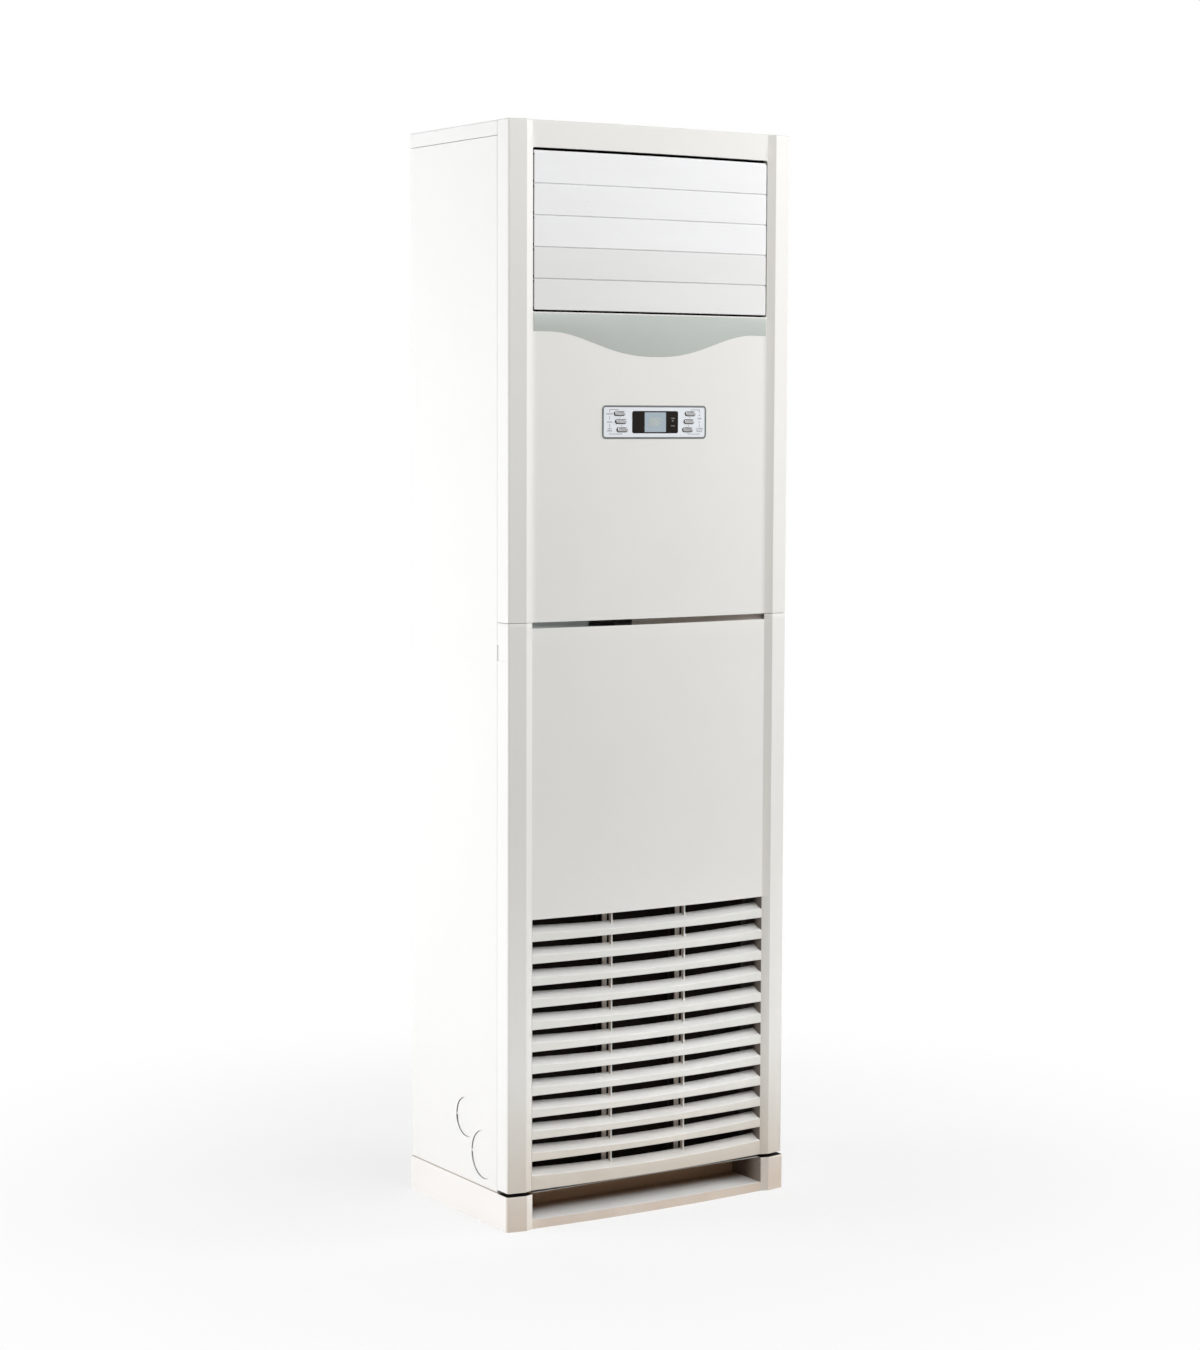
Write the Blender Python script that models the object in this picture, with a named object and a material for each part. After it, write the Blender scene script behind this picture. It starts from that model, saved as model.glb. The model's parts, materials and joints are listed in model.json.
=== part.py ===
"""Floor standing air conditioner: a tall cabinet with closing louvres and a bowed intake grille.

Metres, +Z up, +X to the right as one faces it. The front looks along -Y. The origin is on the floor,
at the middle of the footprint.
"""

import math

import bmesh
import bpy
from mathutils import Vector

# Cabinet
CABINET_WIDTH = 0.564
CABINET_DEPTH = 0.340  # corner ridge to back sheet
HEIGHT = 1.850
SHEET = 0.0012
WALL = 0.003  # plastic mouldings
SEAT = 0.0003  # between pieces that seat on each other
SEAM = 0.0008  # joints that show as lines

# Plan of the front: side edge, corner ridge, panel edge, then a shallow bow
CORNER_SETBACK = 0.0058
RIDGE_INSET = 0.0324
PANEL_INSET = 0.0464
PANEL_SETBACK = 0.0052
BOW_RISE = 0.0095
BOW_STEPS = 16
WRAP = 0.0402  # how far the front mouldings run back along the sides
CORNER_RADIUS = 0.004
RIDGE_RADIUS = 0.0015
EDGE_ROUND = 0.0025  # top edges of the mouldings and the lid

# Heights
PLINTH_HEIGHT = 0.060
FOOT_GAP = 0.0035  # between the feet and the columns
GRILLE_TOP = 0.5270
UPPER_HEIGHT = 0.8246  # upper moulding, seam to top
HANDLE_GAP = 0.0097  # finger slot under the upper moulding
LID_FLANGE = 0.025

# Plinth
PLINTH_PROUD = 0.0025
TOE_FLOOR = 0.0155
TOE_DEPTH = 0.090

# Side sheets
FLANGE = 0.014
BEND_RADIUS = 0.002
KNOCKOUTS = ((0.1475, 0.1687, 0.034), (0.0875, 0.1155, 0.0415))  # behind the ridge, height, radius
KNOCKOUT_SINK = 0.0022  # how far the punched disc is pushed in
KNOCKOUT_SIDES = 36
TAB_WIDTH = 0.0045
TAB_ENDS = (0.0008, 0.0024)  # outside and inside the disc's edge

# Bottom pan
PAN_RIM = 0.012

# Back sheet
RIB_XS = (-0.150, 0.0, 0.150)
RIB_WIDTH = 0.030
RIB_DEPTH = 0.004
RIB_MARGIN = 0.120

# Finger recess in the lower moulding's side
RECESS_HEIGHT = 0.0270
RECESS_DROP = 0.0639  # from the seam to the recess's lower edge
RECESS_LENGTH = 0.0260
RECESS_DEPTH = 0.0018
RECESS_RADIUS = 0.003

# Divider rail behind the finger slot
RAIL_HEIGHT = 0.070
RAIL_LIP = 0.025
RAIL_SHEET = 0.0015
RAIL_WINDOW_HEIGHT = 0.016
RAIL_WINDOW_LEFT = 0.122  # from the middle to the window's lower corners
RAIL_WINDOW_RIGHT = 0.0747
RAIL_LEFT_SLANT = 0.046  # how far the ends lean over the window's height
RAIL_RIGHT_SLANT = 0.0347
RAIL_NOTCH_X = 0.1420
RAIL_NOTCH_WIDTH = 0.0025
RAIL_NOTCH_SLANT = 0.013

# Outlet
OUTLET_RADIUS = 0.005
OUTLET_HEIGHT = 0.2673
OUTLET_DROP = 0.0447  # from the top to the outlet
OUTLET_MARGIN = 0.0006  # beside the outlet, to the panel's edge
DUCT_DEPTH = 0.135
DUCT_WALL = 0.002
DUCT_CLEARANCE = 0.007
LOUVRE_COUNT = 5
LOUVRE_GAP = 0.0015
LOUVRE_TOP_GAP = 0.0065
LOUVRE_FOOT_GAP = 0.0025
LOUVRE_END_GAP = 0.0024
LOUVRE_SKIN = 0.0020
LOUVRE_LIP = 0.0050
LOUVRE_ROUND = 0.0012
TONGUE_OVERLAP = 0.0013  # behind the blade above
TONGUE_THICKNESS = 0.0012
BLADE_RIB_RISE = 0.006
PIVOT_DEPTH = 0.0115  # behind the panel edge
PIN_RADIUS = 0.0025
PIN_CLEARANCE = 0.0004
EAR_RADIUS = 0.0055
EAR_WIDTH = 0.0025

# Upright guide vanes
VANE_COUNT = 11
VANE_THICKNESS = 0.002
VANE_DEPTH = 0.045
VANE_FRONT = 0.052  # behind the ridge
TIE_BAR = 0.006

# Silver band under the outlet
BAND_TOP_GAP = 0.0020
BAND_SIDE_GAP = 0.0020
BAND_FLAT = 0.0318  # below the outlet at its ends
BAND_DIP = 0.0395  # how much lower its middle hangs
BAND_END = 0.0306  # level run at each end
BAND_FULLNESS = 1.2  # how broad the wave's belly is
BAND_STEPS = 32
BAND_THICKNESS = 0.0022
BAND_PROUD = 0.0006

# Control panel
PANEL_WIDTH = 0.210
PANEL_HEIGHT = 0.0565
PANEL_DROP = 0.1808  # from the outlet to the panel's middle
PANEL_RADIUS = 0.007
BEZEL_WIDTH = 0.0028
BEZEL_PROUD = 0.0012
FACE_PROUD = 0.0005
FACE_THICKNESS = 0.0025
WINDOW_WIDTH = 0.092
WINDOW_HEIGHT = 0.0370
WINDOW_RADIUS = 0.003
WINDOW_PROUD = 0.0009
LCD_WIDTH = 0.0430
LCD_HEIGHT = 0.0330
LCD_POCKET = 0.0010
BUTTON_WIDTH = 0.0220
BUTTON_HEIGHT = 0.0080
BUTTON_PROUD = 0.0022
BUTTON_CLEARANCE = 0.0004
BUTTON_FLANGE = 0.0010
BUTTON_PLACES = ((0.0712, 0.0143), (0.0688, 0.0010), (0.0660, -0.0128))  # beside and above the middle

# Intake grille
SLAT_COUNT = 11
SLAT_FACE = 0.0152  # at the slat's ends
SLAT_RISE = 0.0108
SLAT_RUN = 0.0205
SLAT_CLEAR = 0.0134  # over the bottom rail
SLAT_THICKNESS = 0.0025
RAIL_FACE = 0.0272
RETURN_DEPTH = 0.040
GRILLE_RIB_X = 0.0745
GRILLE_RIB_WIDTH = 0.003
GRILLE_RIB_SETBACK = 0.004
GRILLE_RIB_DEPTH = 0.011

# Filter
FILTER_DEPTH = 0.006
FILTER_BORDER = 0.014
FILTER_BAR = 0.012
MESH_THICKNESS = 0.0012

# Worked out from the sizes above
HALF = CABINET_WIDTH / 2
PANEL_HALF = HALF - PANEL_INSET
FRONT_BOTTOM = PLINTH_HEIGHT + FOOT_GAP
MID_SEAM = HEIGHT - UPPER_HEIGHT
HANDLE_BOTTOM = MID_SEAM - HANDLE_GAP
OUTLET_TOP = HEIGHT - OUTLET_DROP
OUTLET_BOTTOM = OUTLET_TOP - OUTLET_HEIGHT
OUTLET_HALF = PANEL_HALF - OUTLET_MARGIN
PANEL_Z = OUTLET_BOTTOM - PANEL_DROP
FRONT_REACH = BOW_RISE - PANEL_SETBACK + PLINTH_PROUD
DEPTH = CABINET_DEPTH + FRONT_REACH
RIDGE_Y = FRONT_REACH - DEPTH / 2
BACK_Y = DEPTH / 2
STATIONS = [PANEL_HALF * (2 * i / BOW_STEPS - 1) for i in range(BOW_STEPS + 1)]
SHEET_FRONT = RIDGE_Y + WRAP + SEAM
DUCT_HALF = OUTLET_HALF + DUCT_CLEARANCE / 2 + DUCT_WALL
LOUVRE_HALF = OUTLET_HALF - LOUVRE_END_GAP
LOUVRE_PITCH = (OUTLET_HEIGHT - LOUVRE_TOP_GAP - LOUVRE_FOOT_GAP) / LOUVRE_COUNT
LOUVRE_HEIGHT = LOUVRE_PITCH - LOUVRE_GAP
PIVOT_Y = RIDGE_Y + PANEL_SETBACK + PIVOT_DEPTH
SLAT_SLOPE = SLAT_RISE / SLAT_RUN
SLAT_PITCH = (GRILLE_TOP - FRONT_BOTTOM - RAIL_FACE - SLAT_RISE - SLAT_CLEAR) / SLAT_COUNT
GRILLE_BACK = RIDGE_Y + PANEL_SETBACK + RETURN_DEPTH


def bow_y(x):
    """Front surface of the bowed panels at x, a little proud of the corner ridges in the middle."""
    return RIDGE_Y + PANEL_SETBACK - BOW_RISE * (1 - (x / PANEL_HALF) ** 2)


def panel_y(x):
    """The same surface as its flat facets have it, between the bow's stations."""
    x = max(-PANEL_HALF, min(PANEL_HALF, x))
    step = 2 * PANEL_HALF / BOW_STEPS
    index = min(int((x + PANEL_HALF) / step), BOW_STEPS - 1)
    share = (x - STATIONS[index]) / step
    return bow_y(STATIONS[index]) * (1 - share) + bow_y(STATIONS[index + 1]) * share


def round_corner(before, corner, after, radius, steps=3):
    """An arc that replaces one corner of a plane path."""
    to_before = (before - corner).normalized()
    to_after = (after - corner).normalized()
    half = to_before.angle(to_after) / 2
    start = corner + to_before * radius / math.tan(half)
    end = corner + to_after * radius / math.tan(half)
    centre = corner + (to_before + to_after).normalized() * radius / math.sin(half)
    sweep = math.pi - 2 * half
    arc = []
    for step in range(steps + 1):
        share = step / steps
        first = (start - centre) * math.sin(sweep * (1 - share))
        last = (end - centre) * math.sin(sweep * share)
        arc.append(centre + (first + last) / math.sin(sweep))
    return arc


def rounded_loop(corners, radius, steps=3):
    """A closed outline with each corner rounded."""
    outline = []
    for index, corner in enumerate(corners):
        after = corners[(index + 1) % len(corners)]
        outline += round_corner(corners[index - 1], corner, after, radius, steps)
    return outline


def rectangle(low_a, high_a, low_b, high_b):
    """Corners of a rectangle, anticlockwise."""
    return [Vector(p) for p in ((low_a, low_b), (high_a, low_b), (high_a, high_b), (low_a, high_b))]


def mirrored(path):
    """The path on the other side of the middle plane, still running the same way round."""
    return [Vector((-point.x, point.y)) for point in reversed(path)]


def inset(path, distance):
    """An open path moved to the left of its direction, with mitred corners."""
    moved = []
    for index, point in enumerate(path):
        normals = []
        for a, b in ((index - 1, index), (index, index + 1)):
            if a >= 0 and b < len(path):
                along = (path[b] - path[a]).normalized()
                normals.append(Vector((-along.y, along.x)))
        middle = sum(normals, Vector((0, 0))).normalized()
        moved.append(point + middle * distance / middle.dot(normals[0]))
    return moved


def front_path(back_y, distance=0.0):
    """Plan of the front from the left side's back_y round both columns to the right side's, at an inset."""
    start = Vector((-HALF, back_y))
    corner = Vector((-HALF, RIDGE_Y + CORNER_SETBACK))
    ridge = Vector((-HALF + RIDGE_INSET, RIDGE_Y))
    bow = [Vector((x, bow_y(x))) for x in STATIONS]
    sharp = inset([start, corner, ridge] + bow + mirrored([start, corner, ridge]), distance)
    left = [sharp[0]]
    left += round_corner(*sharp[0:3], max(CORNER_RADIUS - distance, SEAT))
    left += round_corner(*sharp[1:4], max(RIDGE_RADIUS - distance, SEAT), 2)
    return left + sharp[3:-3] + mirrored(left)


def strip(path, thickness):
    """Outline of a sheet folded along a path, whose outer face is the path."""
    return path + inset(path, thickness)[::-1]


def new_object(name, mesh_maker, location=(0, 0, 0)):
    """An object from a bmesh that mesh_maker fills, with its faces turned outwards."""
    shape = bmesh.new()
    mesh_maker(shape)
    bmesh.ops.recalc_face_normals(shape, faces=shape.faces)
    mesh = bpy.data.meshes.new(name)
    shape.to_mesh(mesh)
    shape.free()
    piece = bpy.data.objects.new(name, mesh)
    piece.location = location
    bpy.context.collection.objects.link(piece)
    return piece


def loft(name, rings, location=(0, 0, 0)):
    """A closed body through rings of equally many 3-D points."""

    def fill(shape):
        rows = [[shape.verts.new(point) for point in ring] for ring in rings]
        count = len(rows[0])
        for lower, upper in zip(rows, rows[1:]):
            for i in range(count):
                j = (i + 1) % count
                shape.faces.new((lower[i], lower[j], upper[j], upper[i]))
        shape.faces.new(rows[0][::-1])
        shape.faces.new(rows[-1])

    return new_object(name, fill, location)


def prism(name, outline, low, high):
    """A plan outline extruded upwards."""
    return loft(name, [[(p.x, p.y, z) for p in outline] for z in (low, high)])


def side_prism(name, outline, low, high, location=(0, 0, 0)):
    """An outline in Y and Z extruded along X."""
    return loft(name, [[(x, p.x, p.y) for p in outline] for x in (low, high)], location)


def box(name, low, high):
    """A plain box between two corners."""
    return prism(name, rectangle(low[0], high[0], low[1], high[1]), low[2], high[2])


def bowed_plate(name, outline, front, back, location=(0, 0, 0)):
    """An outline in X and Z laid on the bowed panel, from front to back behind its surface."""
    place = Vector(location)

    def fill(shape):
        rim = [shape.verts.new((p.x, front, p.y)) for p in outline]
        face = shape.faces.new(rim)
        made = bmesh.ops.extrude_face_region(shape, geom=[face])["geom"]
        for vert in made:
            if isinstance(vert, bmesh.types.BMVert):
                vert.co.y = back
        for x in STATIONS:
            geometry = shape.verts[:] + shape.edges[:] + shape.faces[:]
            cut_at = (x - place.x, 0, 0)
            bmesh.ops.bisect_plane(shape, geom=geometry, plane_co=cut_at, plane_no=(1, 0, 0), dist=1e-6)
        for vert in shape.verts:
            vert.co.y += panel_y(vert.co.x + place.x) - place.y

    return new_object(name, fill, location)


def rod(name, radius, low, high, centre, sides=12):
    """A cylinder along X."""
    turns = [2 * math.pi * k / sides for k in range(sides)]
    ring = [Vector((centre[0] + radius * math.cos(a), centre[1] + radius * math.sin(a))) for a in turns]
    return side_prism(name, ring, low, high)


def combine(target, tools, operation, solver="EXACT"):
    """Adds each tool to the target, or cuts it out, and keeps the result as the target's own mesh."""
    for tool in tools:
        modifier = target.modifiers.new(tool.name, "BOOLEAN")
        modifier.operation = operation
        modifier.solver = solver
        modifier.object = tool
    bpy.context.view_layer.update()
    result = target.evaluated_get(bpy.context.evaluated_depsgraph_get())
    mesh = bpy.data.meshes.new_from_object(result)
    target.modifiers.clear()
    target.data = mesh
    mesh.name = target.name
    for tool in tools:
        bpy.data.objects.remove(tool)
    return target


def cut(target, *tools):
    """The target without what the tools cover."""
    return combine(target, tools, "DIFFERENCE")


def fuse(target, *tools):
    """The target and the tools as one body."""
    return combine(target, tools, "UNION")


def make_material(name, colour, roughness, metallic=0.0):
    """A Principled material."""
    material = bpy.data.materials.new(name)
    material.use_nodes = True
    shader = material.node_tree.nodes["Principled BSDF"]
    shader.inputs["Base Color"].default_value = (*colour, 1)
    shader.inputs["Roughness"].default_value = roughness
    shader.inputs["Metallic"].default_value = metallic
    material.diffuse_color = (*colour, 1)
    return material


def finish(piece, material):
    """Gives a piece its material and smooth shading between its sharp edges."""
    piece.data.materials.clear()
    piece.data.materials.append(material)
    piece.data.shade_smooth()
    piece.data.set_sharp_from_angle(angle=math.radians(30))
    return piece


def rounded_top(outline_at, low, high):
    """Rings of an upright body whose top edge is rounded. outline_at gives the outline at an inset."""
    rings = [[(p.x, p.y, low) for p in outline_at(0)]]
    for step in range(4):
        angle = math.radians(30 * step)
        z = high - EDGE_ROUND * (1 - math.sin(angle))
        rings.append([(p.x, p.y, z) for p in outline_at(EDGE_ROUND * (1 - math.cos(angle)))])
    return rings


def make_plinth():
    """Plinth with corner feet and an open toe recess over a low bowed bar."""

    def outline(distance):
        return front_path(BACK_Y, distance - PLINTH_PROUD)

    plinth = loft("base_plinth", rounded_top(outline, 0, PLINTH_HEIGHT))
    recess = rectangle(-PANEL_HALF, PANEL_HALF, RIDGE_Y - WRAP, RIDGE_Y + TOE_DEPTH)
    return cut(plinth, prism("toe_recess", recess, TOE_FLOOR, PLINTH_HEIGHT + WALL))


def make_knockout(side, centre, radius):
    """A punched disc, pushed in behind its hole and held by a bent tab at the back and one at the front."""

    def depth(distance):
        return side * (HALF - distance)

    turns = [2 * math.pi * k / KNOCKOUT_SIDES for k in range(KNOCKOUT_SIDES)]
    rim = [centre + Vector((math.cos(a), math.sin(a))) * (radius - SEAT) for a in turns]
    faces = sorted((depth(KNOCKOUT_SINK), depth(KNOCKOUT_SINK + SHEET)))
    pieces = [side_prism("disc", rim, *faces)]
    outside, inside = TAB_ENDS
    for way in (-1, 1):
        near = centre.x + way * (radius + outside)
        far = centre.x + way * (radius - inside)
        tab = (
            (depth(0), near),
            (depth(SHEET), near),
            (depth(KNOCKOUT_SINK + SHEET), far),
            (depth(KNOCKOUT_SINK), far),
        )
        pieces.append(prism("tab", [Vector(p) for p in tab], centre.y - TAB_WIDTH / 2, centre.y + TAB_WIDTH / 2))
    return pieces


def make_side_panel(name, side):
    """Folded side sheet with two pipe knock-outs. side is -1 or 1."""
    rear = BACK_Y - SHEET - SEAT
    bends = [Vector((-HALF, rear)), Vector((-HALF, SHEET_FRONT))]
    ends = [Vector((-HALF + FLANGE, rear)), Vector((-HALF + FLANGE, SHEET_FRONT))]
    path = [ends[0]]
    path += round_corner(ends[0], bends[0], bends[1], BEND_RADIUS)
    path += round_corner(bends[0], bends[1], ends[1], BEND_RADIUS)
    path.append(ends[1])
    outline = strip(path, SHEET)
    if side > 0:
        outline = mirrored(outline)
    panel = prism(name, outline, PLINTH_HEIGHT + SEAM, HEIGHT - LID_FLANGE - SEAM)
    holes = []
    discs = []
    for behind, height, radius in KNOCKOUTS:
        centre = Vector((RIDGE_Y + behind, height))
        ends_x = sorted((side * (HALF + WALL), side * (HALF - WALL)))
        holes.append(rod("hole", radius, *ends_x, centre, KNOCKOUT_SIDES))
        discs += make_knockout(side, centre, radius)
    return fuse(cut(panel, *holes), *discs)


def make_bottom_pan():
    """Floor sheet of the cabinet over the toe recess, with a rim along its sides and back."""
    low = PLINTH_HEIGHT + SEAM
    wide = HALF - SHEET - SEAT
    narrow = PANEL_HALF - WALL
    rear = BACK_Y - 2 * (SHEET + SEAT)
    step = SHEET_FRONT + SHEET + SEAT
    left = [Vector((-wide, rear)), Vector((-wide, step)), Vector((-narrow, step)), Vector((-narrow, RIDGE_Y + 2 * WALL))]
    pan = prism("bottom_pan", left + mirrored(left), low, low + SHEET)
    start = GRILLE_BACK + FILTER_DEPTH + MESH_THICKNESS + WALL
    path = [Vector(p) for p in ((wide, start), (wide, rear), (-wide, rear), (-wide, start))]
    return fuse(pan, prism("rim", strip(path, SHEET), low, low + PAN_RIM))


def stadium(x, half_width, low, high):
    """Outline in X and Z of an upright slot with round ends."""
    turns = [math.pi * k / 8 for k in range(9)]
    top = [Vector((x + half_width * math.cos(a), high - half_width + half_width * math.sin(a))) for a in turns]
    foot = [Vector((x - half_width * math.cos(a), low + half_width - half_width * math.sin(a))) for a in turns]
    return top + foot


def flat_plate(name, outline, front, back):
    """An outline in X and Z extruded along Y."""
    return loft(name, [[(p.x, y, p.y) for p in outline] for y in (front, back)])


def make_back_panel():
    """Back sheet with long ribs pressed into it."""
    low = PLINTH_HEIGHT + SEAM
    high = HEIGHT - LID_FLANGE - SEAM
    edge = HALF - BEND_RADIUS
    panel = flat_plate("back_panel", rectangle(-edge, edge, low, high), BACK_Y - SHEET, BACK_Y)
    bosses = []
    troughs = []
    for x in RIB_XS:
        ends = (low + RIB_MARGIN, high - RIB_MARGIN)
        outer = stadium(x, RIB_WIDTH / 2, *ends)
        inner = stadium(x, RIB_WIDTH / 2 - SHEET, ends[0] + SHEET, ends[1] - SHEET)
        bosses.append(flat_plate("rib", outer, BACK_Y - SHEET - RIB_DEPTH, BACK_Y - SHEET / 2))
        troughs.append(flat_plate("trough", inner, BACK_Y - RIB_DEPTH, BACK_Y + SHEET))
    return cut(fuse(panel, *bosses), *troughs)


def make_top_cover():
    """Steel lid with a flange round its edge, behind the front moulding."""

    def outline(distance):
        edge = HALF - distance
        corners = rectangle(-edge, edge, SHEET_FRONT + distance, BACK_Y - distance)
        return rounded_loop(corners, BEND_RADIUS)

    cover = loft("top_cover", rounded_top(outline, HEIGHT - LID_FLANGE, HEIGHT))
    hollow = prism("hollow", outline(SHEET), HEIGHT - LID_FLANGE - WALL, HEIGHT - SHEET)
    return cut(cover, hollow)


def moulding_hollow(low, high):
    """What is taken out behind a front moulding to leave its wall, open at the back."""
    return prism("hollow", front_path(RIDGE_Y + WRAP + WALL, WALL), low, high)


def outlet_outline():
    """Outline in X and Z of the outlet opening."""
    corners = rectangle(-OUTLET_HALF, OUTLET_HALF, OUTLET_BOTTOM, OUTLET_TOP)
    return rounded_loop(corners, OUTLET_RADIUS)


def band_outline(gap=0.0):
    """Outline in X and Z of the silver band: level on top, with a wave along its lower edge."""
    top = OUTLET_BOTTOM - BAND_TOP_GAP + gap
    edge = PANEL_HALF - BAND_SIDE_GAP + gap
    outline = [Vector((edge, top)), Vector((-edge, top))]
    wave_half = PANEL_HALF - BAND_END
    for step in range(BAND_STEPS + 1):
        x = -edge + 2 * edge * step / BAND_STEPS
        share = min(1.0, abs(x) / wave_half) ** BAND_FULLNESS
        drop = BAND_FLAT + BAND_DIP * (1 + math.cos(math.pi * share)) / 2
        outline.append(Vector((x, OUTLET_BOTTOM - drop - gap)))
    return outline


def control_outline(distance):
    """Outline of the control panel at an inset."""
    half_width = PANEL_WIDTH / 2 - distance
    half_height = PANEL_HEIGHT / 2 - distance
    corners = rectangle(-half_width, half_width, PANEL_Z - half_height, PANEL_Z + half_height)
    return rounded_loop(corners, max(PANEL_RADIUS - distance, 0.001), 4)


def make_upper_front():
    """Upper moulding: both columns, the bowed front, the valance and the top, in one shell."""

    def outline(distance):
        return front_path(RIDGE_Y + WRAP, distance)

    low = MID_SEAM + SEAM / 2
    shell = loft("upper_front_panel", rounded_top(outline, low, HEIGHT))
    hollow = moulding_hollow(low - WALL, HEIGHT - WALL)
    opening = flat_plate("opening", outlet_outline(), RIDGE_Y - WRAP, RIDGE_Y + WRAP / 2)
    bed = bowed_plate("bed", band_outline(SEAT), -WALL, BAND_THICKNESS - BAND_PROUD + SEAT)
    pocket = bowed_plate("pocket", control_outline(0), -WALL, 3 * WALL)
    return cut(shell, hollow, opening, bed, pocket)


def make_lower_front():
    """Lower moulding: both columns and the bowed front above the grille."""

    def outline(distance):
        return front_path(RIDGE_Y + WRAP, distance)

    high = MID_SEAM - SEAM / 2
    shell = prism("lower_front_panel", outline(0), FRONT_BOTTOM, high)
    hollow = moulding_hollow(FRONT_BOTTOM - WALL, high + WALL)
    front = RIDGE_Y - WRAP
    back = RIDGE_Y + WRAP / 2
    grille = box("grille", (-PANEL_HALF, front, FRONT_BOTTOM - WALL), (PANEL_HALF, back, GRILLE_TOP))
    slot = box("slot", (-PANEL_HALF, front, HANDLE_BOTTOM), (PANEL_HALF, back, high + WALL))
    tools = [hollow, grille, slot]
    for side in (-1, 1):
        low_y = RIDGE_Y + WRAP - RECESS_LENGTH
        low = MID_SEAM - RECESS_DROP
        corners = rectangle(low_y, RIDGE_Y + 2 * WRAP, low, low + RECESS_HEIGHT)
        ends = sorted((side * (HALF - RECESS_DEPTH), side * (HALF + WALL)))
        tools.append(side_prism("recess", rounded_loop(corners, RECESS_RADIUS), *ends))
    return cut(shell, *tools)


def leaning(left, right, low, high, lean_left, lean_right):
    """Outline in X and Z of a window whose two ends lean, each by so much over its height."""
    corners = ((left, low), (right, low), (right + lean_right, high), (left + lean_left, high))
    return [Vector(p) for p in corners]


def make_divider_rail():
    """Folded cross member behind the finger slot, with a window and a notch that end in slants."""
    front = SHEET_FRONT + SHEET + SEAT
    middle = (HANDLE_BOTTOM + MID_SEAM) / 2
    low = middle - RAIL_HEIGHT / 2
    high = middle + RAIL_HEIGHT / 2
    back = front + RAIL_LIP
    path = [Vector(p) for p in ((back, high), (front, high), (front, low), (back, low))]
    edge = HALF - SHEET - SEAT
    rail = side_prism("divider_rail", strip(path, RAIL_SHEET), -edge, edge)
    half = RAIL_WINDOW_HEIGHT / 2
    ends = (front - WALL, front + WALL)
    window = leaning(-RAIL_WINDOW_LEFT, RAIL_WINDOW_RIGHT, middle - half, middle + half, RAIL_LEFT_SLANT, RAIL_RIGHT_SLANT)
    notch_ends = (RAIL_NOTCH_X, RAIL_NOTCH_X + RAIL_NOTCH_WIDTH)
    notch = leaning(*notch_ends, middle - half, middle + half, -RAIL_NOTCH_SLANT, -RAIL_NOTCH_SLANT)
    return cut(rail, flat_plate("window", window, *ends), flat_plate("notch", notch, *ends))


def slat_section(x, face):
    """Section in Y and Z of a slat at x: upright face, then a blade that rises to the back.

    The blade's top is one slanting plane across the whole slat, so the bow leaves the face lowest in the middle.
    """
    top = face - SLAT_SLOPE * (panel_y(PANEL_HALF) - panel_y(x))
    drop = SLAT_THICKNESS * math.hypot(1, SLAT_SLOPE)
    shift = SLAT_THICKNESS * SLAT_SLOPE
    points = (
        (0, 0),
        (SLAT_THICKNESS, 0),
        (SLAT_THICKNESS, top - drop + shift),
        (SLAT_RUN, top + SLAT_RISE - drop),
        (SLAT_RUN, top + SLAT_RISE),
        (0, top),
    )
    return [Vector(p) for p in points]


def make_slat(name, low, face):
    """A slat that follows the bow, with its lower edge at a height."""
    half = PANEL_HALF - SEAT - WALL / 2
    stations = [-half] + STATIONS[1:-1] + [half]
    rings = [[(x, panel_y(x) + p.x, low + p.y) for p in slat_section(x, face)] for x in stations]
    return loft(name, rings)


def make_grille():
    """Intake grille: bowed slats and a deep bottom rail between side returns, tied by two ribs."""
    edge = PANEL_HALF - SEAT
    front = panel_y(edge)
    top = GRILLE_TOP - SEAT
    inner = edge - WALL
    grille = box("intake_grille", (-edge, front, FRONT_BOTTOM), (-inner, GRILLE_BACK, top))
    pieces = [box("return", (inner, front, FRONT_BOTTOM), (edge, GRILLE_BACK, top))]
    pieces.append(make_slat("rail", FRONT_BOTTOM, RAIL_FACE))
    for k in range(SLAT_COUNT):
        pieces.append(make_slat("slat", GRILLE_TOP - SLAT_PITCH * (k + 1), SLAT_FACE))
    for side in (-1, 1):
        x = side * GRILLE_RIB_X
        y = panel_y(x) + GRILLE_RIB_SETBACK
        low = (x - GRILLE_RIB_WIDTH / 2, y, FRONT_BOTTOM + RAIL_FACE - SLAT_RISE / 2)
        high = (x + GRILLE_RIB_WIDTH / 2, y + GRILLE_RIB_DEPTH, top)
        pieces.append(box("rib", low, high))
    return fuse(grille, *pieces)


def make_filter_frame():
    """Frame of the air filter, with two upright bars."""
    edge = PANEL_HALF - SEAT
    front = GRILLE_BACK + SEAT
    back = front + FILTER_DEPTH
    low = FRONT_BOTTOM + SEAT
    high = GRILLE_TOP + FILTER_BORDER
    frame = box("filter_frame", (-edge, front, low), (edge, back, high))
    bays = []
    bars = [-edge + FILTER_BORDER, -GRILLE_RIB_X, GRILLE_RIB_X, edge - FILTER_BORDER]
    for index, (left, right) in enumerate(zip(bars, bars[1:])):
        start = left + (FILTER_BAR / 2 if index > 0 else 0)
        end = right - (FILTER_BAR / 2 if index < 2 else 0)
        corners = ((start, front - WALL, low + FILTER_BORDER), (end, back + WALL, high - FILTER_BORDER))
        bays.append(box("bay", *corners))
    return cut(frame, *bays)


def make_filter_mesh():
    """Sheet of filter mesh behind its frame."""
    edge = PANEL_HALF - 2 * SEAT
    front = GRILLE_BACK + FILTER_DEPTH + 2 * SEAT
    low = FRONT_BOTTOM + 2 * SEAT
    high = GRILLE_TOP + FILTER_BORDER - SEAT
    return box("filter_mesh", (-edge, front, low), (edge, front + MESH_THICKNESS, high))


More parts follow.
